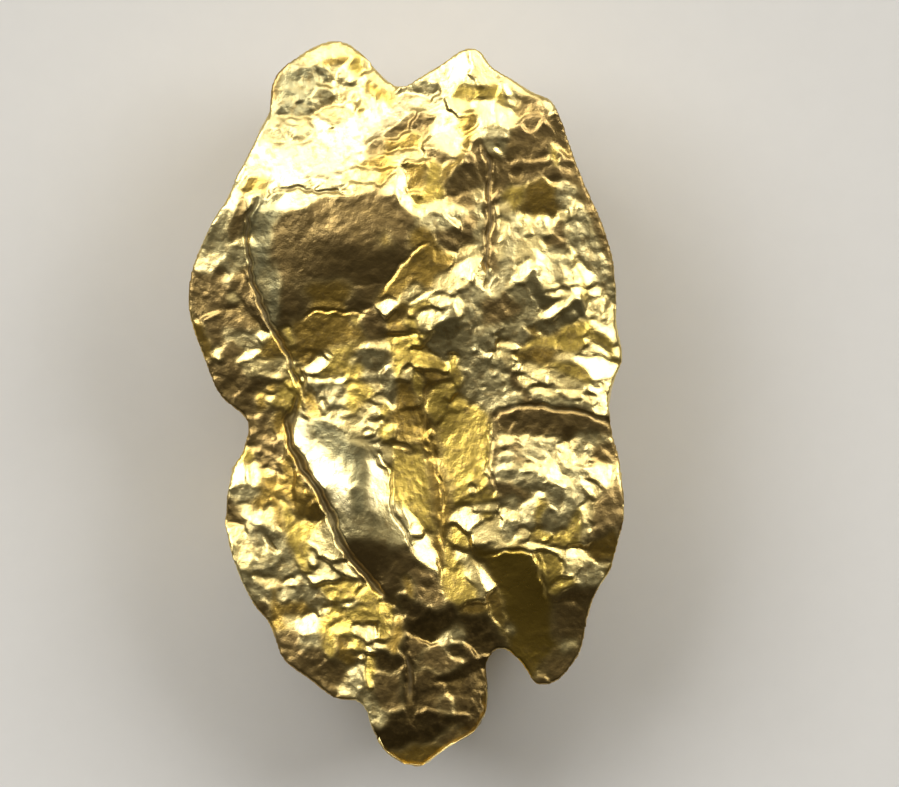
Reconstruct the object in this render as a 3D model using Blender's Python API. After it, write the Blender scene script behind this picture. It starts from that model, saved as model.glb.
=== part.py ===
"""A natural gold nugget lying on its back, one solid, modelled at its real size in metres with +Z up.

The nugget is shaped in millimetres, because its features are tenths of a millimetre, and is scaled to metres last.
Its crown points to +Y, its relief faces +Z, and it rests on a worn flat in the plane z = 0.
"""

import math

import bmesh
import bpy
import numpy as np
from mathutils import Matrix, Vector

# Driving sizes, in millimetres
LENGTH = 10.0
WIDTH = 6.0
THICKNESS = 4.0
METRES_PER_MM = 0.001

# How finely the body is worked, in millimetres
WORK_VOXEL = 0.085
FINISH_VOXEL = 0.075
GROUND_DEPTH = 0.30
FINISHED_TRIANGLES = 6400

# Knocks: how many, how wide and how deep, how far they lean from the skin, and how much of it stays untouched
CHIP_COUNT = 170
CHIP_REACH = (0.40, 0.95)
CHIP_DEPTH = 0.14
CHIP_TILT = 0.16
CHIP_LEVEL = 0.45
CHIP_SEED = 11

# The plan outline, clockwise from the left crown, in millimetres from the middle of the nugget
OUTLINE = [
    (-1.48, 4.92), (-1.17, 5.00), (-0.78, 4.97), (-0.61, 4.82), (-0.29, 4.51), (-0.08, 4.37),
    (0.17, 4.51), (0.47, 4.62), (0.78, 4.88), (1.10, 4.88), (1.35, 4.55), (1.86, 4.38),
    (2.19, 4.04), (2.29, 3.51), (2.46, 3.03), (2.70, 2.54), (2.87, 2.01), (2.93, 1.43),
    (3.01, 0.81), (3.03, 0.25), (2.96, -0.31), (2.96, -0.79), (3.03, -1.35), (2.98, -1.97),
    (2.74, -2.39), (2.52, -2.74), (2.43, -3.29), (2.14, -3.68), (1.88, -3.86), (1.75, -3.80),
    (1.66, -3.50), (1.28, -3.22), (1.07, -3.50), (1.20, -3.84), (1.12, -4.12), (0.98, -4.40),
    (0.60, -4.68), (0.40, -4.92), (0.10, -5.00), (-0.12, -4.95), (-0.38, -4.78), (-0.74, -4.33),
    (-1.00, -4.02), (-1.24, -3.78), (-1.66, -3.52), (-1.88, -3.20), (-2.02, -2.90), (-2.28, -2.57),
    (-2.52, -2.21), (-2.52, -1.62), (-2.47, -1.00), (-2.34, -0.49), (-2.36, -0.20), (-2.56, 0.04),
    (-2.76, 0.60), (-2.94, 1.05), (-3.03, 1.43), (-2.97, 1.88), (-2.72, 2.43), (-2.42, 3.17),
    (-2.15, 3.79), (-1.83, 4.49),
]

# The envelope at each height: its plan scale, and how far its notches are filled towards a plain oval
ENVELOPE = [
    (-0.10, 0.52, 1.00), (0.35, 0.76, 0.70), (0.80, 0.90, 0.35), (1.25, 0.97, 0.05), (1.65, 0.995, 0.00),
    (1.95, 1.00, 0.00), (2.30, 0.998, 0.00), (2.70, 0.985, 0.00), (3.10, 0.95, 0.05), (3.50, 0.87, 0.20),
    (3.90, 0.70, 0.50), (4.40, 0.45, 1.00),
]
OVAL_HALF_WIDTH = 2.72
OVAL_HALF_LENGTH = 4.75

# Lobes that grew together: name, middle (x, y, z), half sizes (x, y, z), turn about Z in degrees
LOBES = [
    ("upper core", (0.00, 1.60, 1.75), (2.40, 2.60, 1.62), 0),
    ("lower core", (0.15, -1.35, 1.70), (2.20, 2.50, 1.55), 0),
    ("bed", (0.05, 0.20, 1.20), (1.95, 3.60, 1.28), 4),
    ("left crown", (-1.15, 4.00, 1.60), (0.95, 1.10, 1.28), 20),
    ("left shoulder", (-1.72, 2.95, 1.65), (1.08, 1.35, 1.48), -20),
    ("dark dome", (-1.00, 2.02, 2.20), (1.15, 1.02, 1.55), 0),
    ("left flank", (-2.15, 1.30, 1.65), (0.95, 1.45, 1.38), 10),
    ("right crown", (0.98, 3.95, 1.70), (1.30, 1.12, 1.38), 0),
    ("brow", (0.30, 3.05, 2.20), (1.00, 0.85, 1.42), 25),
    ("ridge", (0.10, 1.95, 2.20), (0.75, 0.55, 1.45), 40),
    ("right shoulder", (1.88, 2.85, 1.75), (1.00, 1.60, 1.52), 8),
    ("right cheek", (1.85, 1.70, 1.90), (1.12, 1.20, 1.38), 0),
    ("right flank", (2.12, 0.45, 1.70), (0.92, 1.25, 1.48), 0),
    ("middle knob", (-0.55, 0.30, 2.20), (0.75, 0.60, 1.28), 0),
    ("ridge head", (0.80, 1.35, 2.20), (0.65, 0.70, 1.30), 30),
    ("leaf tip", (-1.28, -0.45, 2.30), (0.36, 0.48, 1.00), 24),
    ("leaf middle", (-0.72, -1.15, 2.45), (0.50, 0.82, 1.32), 28),
    ("leaf foot", (-0.28, -2.05, 2.20), (0.46, 0.72, 1.28), 25),
    ("left haunch", (-1.80, -1.55, 1.60), (0.78, 1.45, 1.22), 12),
    ("gilded facet", (-0.95, -3.05, 1.60), (0.85, 0.95, 1.12), 35),
    ("toe", (0.35, -3.75, 1.65), (0.95, 1.25, 1.40), 0),
    ("right haunch", (1.84, -1.30, 1.70), (1.28, 1.45, 1.60), 0),
    ("right heel", (2.15, -3.05, 1.40), (0.48, 1.00, 0.95), -10),
    ("hollow floor", (1.60, -2.90, 1.15), (0.62, 1.05, 0.95), 0),
]

# Grooves folded or worn into the front: name, route (x, y, depth below the lobes), half width of the floor, and how
# far the walls lean out, in degrees
GROOVES = [
    ("centre valley", [(0.12, 0.75, 0.20), (0.28, 0.20, 0.48), (0.34, -0.60, 0.68), (0.43, -1.50, 0.70),
                       (0.52, -2.20, 0.55), (0.50, -2.70, 0.40)], 0.14, 38),
    ("right groove", [(1.20, -0.12, 0.22), (1.60, -0.08, 0.38), (2.05, -0.26, 0.45), (2.45, -0.38, 0.28)], 0.08, 32),
    ("left crack", [(-1.85, 3.00, 0.12), (-2.08, 2.55, 0.20), (-2.12, 2.05, 0.24), (-1.98, 1.40, 0.24),
                    (-1.72, 0.85, 0.22), (-1.52, 0.25, 0.20), (-1.60, -0.35, 0.24), (-1.45, -0.95, 0.28),
                    (-1.12, -1.60, 0.30), (-0.72, -2.25, 0.28), (-0.20, -2.75, 0.28)], 0.07, 17),
    ("crown crease", [(0.90, 3.70, 0.22), (1.06, 3.10, 0.32), (1.12, 2.50, 0.32), (1.08, 1.90, 0.30),
                      (1.13, 1.30, 0.20)], 0.06, 17),
    ("dome step", [(-1.65, 1.05, 0.22), (-1.10, 1.06, 0.26), (-0.55, 1.08, 0.26), (-0.15, 1.35, 0.20)], 0.14, 24),
    ("toe pit", [(-0.05, -2.70, 0.35), (0.22, -3.00, 0.50), (0.45, -2.95, 0.45)], 0.14, 22),
    ("heel notch", [(1.22, -2.30, 0.35), (1.26, -2.80, 0.60), (1.30, -3.30, 0.70), (1.36, -3.70, 0.80)], 0.08, 14),
    ("waist", [(-1.95, -0.25, 0.25), (-2.30, -0.32, 0.30), (-2.80, -0.36, 0.25)], 0.12, 26),
    ("crown notch", [(0.10, 3.55, 0.20), (-0.05, 4.10, 0.45), (-0.08, 4.80, 0.60)], 0.14, 26),
]
GROOVE_TOP = 4.8
LOWEST_FLOOR = 1.4

# The finish of natural gold
GOLD_COLOUR = (0.83, 0.63, 0.27, 1.0)
GOLD_ROUGHNESS = 0.25


def clear_scene() -> None:
    """Remove the objects that a new file starts with."""
    for obj in list(bpy.data.objects):
        bpy.data.objects.remove(obj, do_unlink=True)


def add_object(name: str, mesh: bpy.types.Mesh) -> bpy.types.Object:
    """Put a mesh in the scene under a name."""
    obj = bpy.data.objects.new(name, mesh)
    bpy.context.scene.collection.objects.link(obj)
    return obj


def applied(obj: bpy.types.Object) -> bpy.types.Mesh:
    """Return the object's mesh with its modifiers applied, and leave the object without them."""
    bpy.context.view_layer.update()
    shaped = bpy.data.meshes.new_from_object(obj.evaluated_get(bpy.context.evaluated_depsgraph_get()))
    obj.modifiers.clear()
    obj.data = shaped
    return shaped


def remesh(obj: bpy.types.Object, voxel: float) -> None:
    """Close everything in the object into one even skin."""
    modifier = obj.modifiers.new("skin", "REMESH")
    modifier.mode = "VOXEL"
    modifier.voxel_size = voxel
    applied(obj)


def cut(obj: bpy.types.Object, tool: bpy.types.Object, operation: str) -> None:
    """Cut the object with a tool, or keep only what is inside the tool, and remove the tool."""
    modifier = obj.modifiers.new("cut", "BOOLEAN")
    modifier.operation = operation
    modifier.solver = "EXACT"
    modifier.object = tool
    tool.hide_render = True
    tool.display_type = "WIRE"
    applied(obj)
    bpy.data.objects.remove(tool, do_unlink=True)


def lobe_cluster() -> bpy.types.Object:
    """Make every lobe as an ellipsoid, all in one mesh, still passing through each other."""
    cluster = bmesh.new()
    for _name, middle, half_sizes, turn in LOBES:
        place = Matrix.Translation(middle) @ Matrix.Rotation(math.radians(turn), 4, "Z")
        stretch = Matrix.Diagonal((*half_sizes, 1.0))
        bmesh.ops.create_icosphere(cluster, subdivisions=4, radius=1.0, matrix=place @ stretch)
    mesh = bpy.data.meshes.new("lobes")
    cluster.to_mesh(mesh)
    cluster.free()
    return add_object("lobes", mesh)


def envelope_ring(height: float, scale: float, filling: float) -> list[Vector]:
    """Place the outline at one height, with its notches partly filled towards the oval."""
    ring = []
    for x, y in OUTLINE:
        out = math.hypot(x / OVAL_HALF_WIDTH, y / OVAL_HALF_LENGTH)
        round_scale = scale * (1.0 - filling + filling / out)
        ring.append(Vector((x * round_scale, y * round_scale, height)))
    return ring


def envelope() -> bpy.types.Object:
    """Loft the plan outline through the envelope's heights, as a closed cushion."""
    body = bmesh.new()
    rings = [[body.verts.new(point) for point in reversed(envelope_ring(*level))] for level in ENVELOPE]
    count = len(OUTLINE)
    for lower, upper in zip(rings, rings[1:]):
        for i in range(count):
            j = (i + 1) % count
            body.faces.new((lower[i], lower[j], upper[j], upper[i]))
    body.faces.new(list(reversed(rings[0])))
    body.faces.new(rings[-1])
    bmesh.ops.triangulate(body, faces=body.faces[:])
    bmesh.ops.recalc_face_normals(body, faces=body.faces[:])
    mesh = bpy.data.meshes.new("envelope")
    body.to_mesh(mesh)
    body.free()
    return add_object("envelope", mesh)


def skin_height(x: float, y: float) -> float:
    """Find the height of the highest lobe above a place in plan, from the ellipsoids' own equation."""
    heights = [LOWEST_FLOOR]
    for _name, middle, half_sizes, turn in LOBES:
        local = Matrix.Rotation(-math.radians(turn), 3, "Z") @ Vector((x - middle[0], y - middle[1], 0.0))
        left = 1.0 - (local.x / half_sizes[0]) ** 2 - (local.y / half_sizes[1]) ** 2
        if left > 0.0:
            heights.append(middle[2] + half_sizes[2] * math.sqrt(left))
    return max(heights)


def groove_tool(name: str, route: list[tuple[float, float, float]], half_width: float,
                wall_lean: float) -> bpy.types.Object:
    """Make a cutter with a narrow floor and leaning walls, swept along the groove's route under the skin."""
    tool = bmesh.new()
    floors = [Vector((x, y, skin_height(x, y) - depth)) for x, y, depth in route]
    sections = []
    for i, floor in enumerate(floors):
        ahead = floors[min(i + 1, len(floors) - 1)]
        behind = floors[max(i - 1, 0)]
        along = Vector((ahead.x - behind.x, ahead.y - behind.y, 0.0)).normalized()
        side = Vector((-along.y, along.x, 0.0))
        nose = along * (-1.0 if i == 0 else 1.0 if i == len(floors) - 1 else 0.0)
        spread = half_width + (GROOVE_TOP - floor.z) * math.tan(math.radians(wall_lean))
        brim = Vector((floor.x, floor.y, GROOVE_TOP)) + nose * spread * 0.6
        sections.append([
            tool.verts.new(floor - side * half_width),
            tool.verts.new(floor + side * half_width),
            tool.verts.new(brim + side * spread),
            tool.verts.new(brim - side * spread),
        ])
    for near, far in zip(sections, sections[1:]):
        for i in range(4):
            j = (i + 1) % 4
            tool.faces.new((near[i], near[j], far[j], far[i]))
    tool.faces.new(list(reversed(sections[0])))
    tool.faces.new(sections[-1])
    bmesh.ops.triangulate(tool, faces=tool.faces[:])
    bmesh.ops.recalc_face_normals(tool, faces=tool.faces[:])
    mesh = bpy.data.meshes.new(name)
    tool.to_mesh(mesh)
    tool.free()
    return add_object(name, mesh)


def chip_faces(mesh: bpy.types.Mesh) -> None:
    """Flatten small places all over the skin, as knocks in a stream bed do.

    Each knock presses the skin inside its reach towards a plane, never by more than CHIP_DEPTH, and dies away at
    the rim of its reach, so that no knock can fold the skin over.
    """
    count = len(mesh.vertices)
    points = np.empty(count * 3, dtype=np.float32)
    mesh.vertices.foreach_get("co", points)
    points = points.reshape(-1, 3).astype(float)
    normals = np.empty(count * 3, dtype=np.float32)
    mesh.vertices.foreach_get("normal", normals)
    normals = normals.reshape(-1, 3).astype(float)
    chooser = np.random.default_rng(CHIP_SEED)
    for _ in range(CHIP_COUNT):
        middle = chooser.integers(count)
        reach = chooser.uniform(*CHIP_REACH)
        facing = normals[middle] + chooser.normal(0.0, CHIP_TILT, 3)
        facing /= np.linalg.norm(facing)
        away = np.linalg.norm(points - points[middle], axis=1)
        struck = np.flatnonzero((away < reach) & (normals @ facing > 0.35))
        heights = (points[struck] - points[middle]) @ facing
        level = np.quantile(heights, CHIP_LEVEL)
        press = np.clip(heights - level, 0.0, CHIP_DEPTH)
        fade = np.clip(2.5 * (1.0 - away[struck] / reach), 0.0, 1.0)
        points[struck] -= np.outer(press * fade, facing)
    mesh.vertices.foreach_set("co", points.astype(np.float32).ravel())
    mesh.update()


def soften(obj: bpy.types.Object, factor: float, repeats: int) -> None:
    """Round the edges that the cuts left."""
    modifier = obj.modifiers.new("soften", "SMOOTH")
    modifier.factor = factor
    modifier.iterations = repeats
    applied(obj)


def simplify(obj: bpy.types.Object, triangles: int) -> None:
    """Reduce the skin to the wanted number of facets."""
    modifier = obj.modifiers.new("simplify", "DECIMATE")
    modifier.decimate_type = "COLLAPSE"
    modifier.ratio = triangles / (2 * len(obj.data.polygons))
    modifier.use_collapse_triangulate = True
    applied(obj)


def fit_to_size(mesh: bpy.types.Mesh) -> None:
    """Stretch the nugget to its driving sizes, with its middle over the origin and its lowest point at GROUND_DEPTH
    below the resting plane."""
    low = [min(vertex.co[axis] for vertex in mesh.vertices) for axis in range(3)]
    high = [max(vertex.co[axis] for vertex in mesh.vertices) for axis in range(3)]
    wanted = (WIDTH, LENGTH, THICKNESS + GROUND_DEPTH)
    scale = [size / (top - bottom) for size, top, bottom in zip(wanted, high, low)]
    shift = Vector((-(low[0] + high[0]) / 2, -(low[1] + high[1]) / 2, -low[2]))
    mesh.transform(Matrix.Diagonal((*scale, 1.0)) @ Matrix.Translation(shift))
    mesh.transform(Matrix.Translation((0.0, 0.0, -GROUND_DEPTH)))


def grind_flat(mesh: bpy.types.Mesh) -> None:
    """Take off what is below the resting plane, so that the nugget has its worn flat."""
    body = bmesh.new()
    body.from_mesh(mesh)
    parts = body.verts[:] + body.edges[:] + body.faces[:]
    cut_parts = bmesh.ops.bisect_plane(body, geom=parts, dist=0.0001, plane_co=(0, 0, 0), plane_no=(0, 0, -1),
                                       clear_outer=True)
    rim = [part for part in cut_parts["geom_cut"] if isinstance(part, bmesh.types.BMEdge)]
    bmesh.ops.contextual_create(body, geom=rim)
    bmesh.ops.triangulate(body, faces=body.faces[:])
    body.to_mesh(mesh)
    body.free()


def gold() -> bpy.types.Material:
    """Make the nugget's metal."""
    material = bpy.data.materials.new("natural gold")
    material.use_nodes = True
    shader = material.node_tree.nodes["Principled BSDF"]
    shader.inputs["Base Color"].default_value = GOLD_COLOUR
    shader.inputs["Metallic"].default_value = 1.0
    shader.inputs["Roughness"].default_value = GOLD_ROUGHNESS
    return material


def make_nugget() -> bpy.types.Object:
    """Grow the lobes together, trim them to the outline, fold in the grooves and finish the skin."""
    nugget = lobe_cluster()
    nugget.name = "nugget"
    remesh(nugget, WORK_VOXEL)
    cut(nugget, envelope(), "INTERSECT")
    for name, route, half_width, wall_lean in GROOVES:
        cut(nugget, groove_tool(name, route, half_width, wall_lean), "DIFFERENCE")
    remesh(nugget, FINISH_VOXEL)
    soften(nugget, 0.5, 12)
    chip_faces(nugget.data)
    soften(nugget, 0.4, 4)
    simplify(nugget, FINISHED_TRIANGLES)
    fit_to_size(nugget.data)
    grind_flat(nugget.data)
    nugget.data.transform(Matrix.Scale(METRES_PER_MM, 4))
    nugget.data.name = "nugget"
    nugget.data.materials.append(gold())
    nugget.data.shade_smooth()
    nugget.data.set_sharp_from_angle(angle=math.radians(35))
    return nugget


def main() -> None:
    """Build the nugget in an empty scene."""
    clear_scene()
    make_nugget()


main()
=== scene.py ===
"""Looks of a natural gold nugget: its crumpled skin, its metal, a plain pale floor and soft studio light.

The nugget lies on its back with its crown to +Y and its folded front to +Z. One piece, the crumpled skin,
stands for the one solid of the frame. The skin is worked in millimetres, and put into metres when finished.
"""

import logging
import math
from dataclasses import dataclass, field
from enum import Enum
from itertools import chain

import bmesh
import bpy
import numpy as np
from mathutils import Matrix, Vector
from mathutils.bvhtree import BVHTree
from mathutils.kdtree import KDTree


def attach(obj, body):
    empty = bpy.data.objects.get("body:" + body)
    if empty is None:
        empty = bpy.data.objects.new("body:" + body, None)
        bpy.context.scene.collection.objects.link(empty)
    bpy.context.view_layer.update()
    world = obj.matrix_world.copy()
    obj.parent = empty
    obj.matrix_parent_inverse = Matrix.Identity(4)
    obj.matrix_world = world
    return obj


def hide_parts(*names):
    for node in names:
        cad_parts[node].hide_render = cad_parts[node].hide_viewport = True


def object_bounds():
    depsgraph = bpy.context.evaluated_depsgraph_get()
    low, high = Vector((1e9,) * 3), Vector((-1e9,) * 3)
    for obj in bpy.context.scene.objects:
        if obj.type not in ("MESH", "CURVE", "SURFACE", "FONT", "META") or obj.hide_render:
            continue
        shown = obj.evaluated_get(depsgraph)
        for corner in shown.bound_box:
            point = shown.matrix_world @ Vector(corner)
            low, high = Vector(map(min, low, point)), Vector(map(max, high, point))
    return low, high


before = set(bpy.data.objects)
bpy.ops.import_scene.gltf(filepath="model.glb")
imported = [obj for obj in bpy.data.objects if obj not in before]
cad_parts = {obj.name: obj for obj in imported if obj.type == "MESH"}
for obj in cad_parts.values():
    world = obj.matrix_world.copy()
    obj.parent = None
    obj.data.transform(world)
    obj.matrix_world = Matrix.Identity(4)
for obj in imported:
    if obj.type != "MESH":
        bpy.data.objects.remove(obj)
CAD_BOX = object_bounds()

LOG = logging.getLogger("nugget")
MM = 0.001
SEED = 20


class Tone(Enum):
    """Shades of the gold, as the colour that it gives back; most of them paint light or shade into the metal.
    """

    # BRIGHT is a painted highlight; YELLOW is painted gold-on-gold reflection; AMBER and OLIVE are painted
    # reflection and shade in folds and hollows; BROWN, SAGE and UMBER are painted shade; GOLD is the metal's
    # own colour and PALE a greyer, dimmer gold.
    GOLD = (1.00, 0.80, 0.33)
    BRIGHT = (1.00, 0.85, 0.45)
    YELLOW = (1.00, 0.72, 0.15)
    AMBER = (0.72, 0.47, 0.10)
    OLIVE = (0.66, 0.45, 0.08)
    BROWN = (0.42, 0.29, 0.11)
    PALE = (0.85, 0.71, 0.33)
    SAGE = (0.47, 0.42, 0.21)
    UMBER = (0.22, 0.15, 0.055)


GOLD, BRIGHT, YELLOW, AMBER, OLIVE, BROWN, PALE, SAGE, UMBER = Tone
# BROWN and UMBER paint shade into the metal, so facets of these tones lean only half as far.
SHADE_TONES = (BROWN, UMBER)
SHADE_TONE_LEAN = 0.5


class Border(Enum):
    """How a facet meets its neighbours, as the softness of the change from one to the other."""

    CRISP = 0.035
    SOFT = 0.30


@dataclass(frozen=True)
class Facet:
    """One flat place on the front of the nugget.

    Attributes:
        x: Middle in plan, in millimetres, to the right.
        y: Middle in plan, in millimetres, towards the crown.
        long: Half its length, in millimetres.
        wide: Half its width, in millimetres.
        turn: Bearing of its length, in degrees clockwise from the crown.
        lean: How far it leans from level, in degrees.
        facing: Bearing that it looks towards, in degrees clockwise from the crown.
        rough: How crumpled it is, from 0, water-worn, to 1.
        tone: Shade of its gold, mostly the painted light or shade of its place.
        soft: Whether it flows into its neighbours without an edge.
    """

    x: float
    y: float
    long: float
    wide: float
    turn: float
    lean: float
    facing: float
    rough: float
    tone: Tone = GOLD
    soft: bool = False

    def slope(self) -> tuple[float, float]:
        """Return the rise of the surface along x and along y, which is less where a tone of painted shade
        darkens it.
        """
        steepness = math.tan(math.radians(self.lean)) * (SHADE_TONE_LEAN if self.tone in SHADE_TONES else 1.0)
        bearing = math.radians(self.facing)
        return -steepness * math.sin(bearing), -steepness * math.cos(bearing)

    def softness(self) -> float:
        """Return how gradually the facet gives way to its neighbours."""
        return (Border.SOFT if self.soft else Border.CRISP).value


def facets(*rows: tuple) -> tuple[Facet, ...]:
    """Make the facets of one region.

    Args:
        rows: For each facet, its fields in order: x, y, long, wide, turn, lean, facing, rough, tone, soft.

    Returns:
        The facets.
    """
    return tuple(Facet(*row) for row in rows)


@dataclass(frozen=True)
class Crack:
    """A fold line that is pressed into the front.

    Attributes:
        name: What it is called.
        depth: How deep it is, in millimetres.
        width: Half its width, in millimetres.
        route: Places that it passes, in millimetres in plan.
    """

    name: str
    depth: float
    width: float
    route: tuple[tuple[float, float], ...]


# The facets of the front, region by region, each listed: its middle, its half length and half width
# in millimetres, its turn, its lean, the bearing it faces, how crumpled it is, its tone, whether it is soft
LEFT_CROWN = facets(
    (-1.25, 4.77, 0.2, 0.09, 72, 22, 335, 0.1),
    (-0.94, 4.82, 0.14, 0.07, 88, 22, 350, 0.1),
    (-1.0, 4.68, 0.2, 0.05, 85, 8, 350, 0.2, AMBER),
    (-0.72, 4.63, 0.08, 0.08, 0, 9, 20, 0.1, YELLOW),
    (-0.82, 4.51, 0.13, 0.05, 135, 22, 330, 0.1),
    (-0.52, 4.62, 0.06, 0.05, 0, 6, 10, 0.1),
    (-0.35, 4.42, 0.14, 0.07, 115, 22, 30, 0.1),
    (-0.67, 4.33, 0.09, 0.08, 0, 16, 335, 0.2),
    (-1.0, 4.55, 0.1, 0.06, 0, 12, 330, 0.25),
    (-1.03, 4.36, 0.06, 0.05, 0, 21, 330, 0.1),
    (-1.5, 4.35, 0.26, 0.15, 20, 3, 280, 0.45, SAGE),
    (-1.12, 4.48, 0.11, 0.09, 0, 7, 210, 0.4, SAGE),
    (-0.88, 4.4, 0.09, 0.09, 0, 5, 240, 0.35, PALE),
    (-1.15, 4.2, 0.14, 0.12, 40, 6, 200, 0.4, PALE),
    (-1.5, 4.07, 0.17, 0.11, 80, 4, 230, 0.45, SAGE),
    (-1.68, 4.38, 0.36, 0.05, 25, 8, 300, 0.2, SAGE),
    (-1.88, 4.2, 0.4, 0.08, 27, 18, 300, 0.25, BROWN),
    (-0.86, 4.2, 0.1, 0.12, 0, 11, 350, 0.25),
    (-1.0, 3.96, 0.09, 0.12, 0, 21, 340, 0.15),
    (-0.83, 3.98, 0.13, 0.07, 60, 21, 330, 0.15),
    (-0.52, 4.13, 0.1, 0.08, 0, 20, 350, 0.15),
    (-0.36, 4.24, 0.17, 0.1, 120, 5, 60, 0.35, AMBER),
    (-0.62, 4.02, 0.08, 0.05, 60, 4, 100, 0.2, AMBER),
    (-1.7, 3.86, 0.2, 0.05, 80, 14, 330, 0.2, PALE),
    (-1.47, 3.88, 0.05, 0.08, 0, 21, 340, 0.1),
    (-1.78, 3.71, 0.24, 0.09, 85, 5, 290, 0.45, PALE),
    (-1.4, 3.69, 0.13, 0.08, 70, 9, 335, 0.4, PALE),
    (-2.12, 3.65, 0.4, 0.08, 24, 27, 312, 0.2, PALE),
)

WHITE_SLOPE = facets(
    (-1.93, 3.35, 0.3, 0.16, 80, 22, 320, 0.12, BRIGHT, True),
    (-1.42, 3.3, 0.28, 0.2, 80, 21, 325, 0.1, BRIGHT, True),
    (-1.0, 3.48, 0.28, 0.2, 60, 20, 325, 0.1, BRIGHT, True),
    (-1.17, 3.74, 0.16, 0.1, 30, 21, 325, 0.12, BRIGHT, True),
    (-0.72, 3.76, 0.24, 0.15, 55, 15, 335, 0.12, BRIGHT, True),
    (-0.2, 3.93, 0.32, 0.08, 42, 22, 325, 0.06, BRIGHT, True),
    (-0.42, 4.0, 0.17, 0.1, 50, 13, 335, 0.1, BRIGHT, True),
    (-1.15, 3.12, 0.22, 0.06, 86, 22, 345, 0.1, BRIGHT),
    (-0.76, 3.31, 0.13, 0.06, 60, 22, 330, 0.08, BRIGHT),
    (-1.6, 3.11, 0.25, 0.08, 80, 15, 335, 0.12, BRIGHT, True),
    (-1.3, 3.02, 0.32, 0.03, 80, 5, 340, 0.15, PALE),
    (-1.0, 3.77, 0.08, 0.04, 80, 16, 190, 0.1, AMBER),
    (-2.08, 3.0, 0.16, 0.1, 60, 6, 200, 0.2, AMBER),
    (-2.3, 3.12, 0.22, 0.06, 25, 11, 250, 0.1, PALE),
)

BROW = facets(
    (-0.42, 3.52, 0.13, 0.1, 60, 13, 170, 0.3, BROWN),
    (-0.08, 3.76, 0.2, 0.1, 52, 9, 150, 0.25, BROWN),
    (0.22, 3.84, 0.16, 0.12, 80, 8, 170, 0.3, BROWN),
    (0.0, 3.6, 0.12, 0.11, 0, 3, 120, 0.25, AMBER),
    (-0.2, 3.55, 0.08, 0.14, 0, 4, 200, 0.2, AMBER),
    (-0.08, 3.4, 0.06, 0.07, 0, 21, 340, 0.08),
    (0.1, 3.42, 0.06, 0.09, 0, 21, 20, 0.08),
    (-0.4, 3.28, 0.25, 0.05, 78, 3, 250, 0.2, AMBER),
    (-0.62, 3.15, 0.17, 0.07, 88, 10, 345, 0.25),
    (-0.3, 3.12, 0.1, 0.07, 45, 4, 60, 0.2, AMBER),
    (-0.22, 3.02, 0.11, 0.06, 15, 20, 340, 0.08),
    (-0.06, 3.03, 0.19, 0.06, 165, 23, 40, 0.05),
    (0.05, 2.76, 0.15, 0.05, 150, 14, 30, 0.08),
    (0.18, 2.62, 0.09, 0.06, 130, 22, 30, 0.05),
    (-0.7, 2.96, 0.17, 0.06, 88, 11, 0, 0.25),
    (-1.02, 2.97, 0.17, 0.04, 80, 4, 340, 0.2, PALE),
    (0.53, 3.68, 0.15, 0.15, 0, 21, 345, 0.04, GOLD, True),
    (0.55, 3.87, 0.13, 0.07, 90, 13, 0, 0.08, GOLD, True),
    (0.8, 3.86, 0.12, 0.11, 0, 8, 190, 0.3, AMBER),
    (0.86, 3.64, 0.1, 0.05, 40, 8, 190, 0.2, AMBER),
    (0.42, 3.41, 0.16, 0.07, 100, 8, 190, 0.2, BROWN),
    (0.92, 3.37, 0.05, 0.09, 0, 7, 10, 0.1, BROWN),
    (0.63, 3.24, 0.17, 0.04, 28, 6, 325, 0.1, AMBER),
    (0.77, 3.08, 0.19, 0.12, 15, 12, 190, 0.15, BROWN),
    (0.13, 3.12, 0.18, 0.12, 170, 5, 190, 0.2, AMBER),
    (0.36, 3.12, 0.18, 0.09, 175, 5, 20, 0.2, YELLOW),
    (0.35, 2.9, 0.1, 0.09, 0, 9, 10, 0.2, YELLOW),
    (0.17, 2.82, 0.09, 0.08, 140, 4, 340, 0.2, YELLOW),
    (0.44, 2.69, 0.13, 0.08, 95, 22, 10, 0.06),
    (0.83, 2.78, 0.17, 0.08, 80, 8, 310, 0.35, BROWN),
    (0.98, 2.86, 0.06, 0.08, 0, 11, 0, 0.15),
    (0.68, 2.6, 0.13, 0.1, 90, 5, 330, 0.35, PALE),
    (0.4, 2.48, 0.17, 0.09, 75, 6, 330, 0.25, PALE),
    (0.88, 2.52, 0.09, 0.15, 0, 2, 270, 0.3, BROWN),
    (0.7, 2.47, 0.04, 0.04, 0, 20, 340, 0.05),
    (0.6, 2.3, 0.22, 0.09, 100, 8, 200, 0.25, BROWN),
    (0.2, 2.3, 0.16, 0.09, 70, 5, 320, 0.2, AMBER),
)

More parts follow.
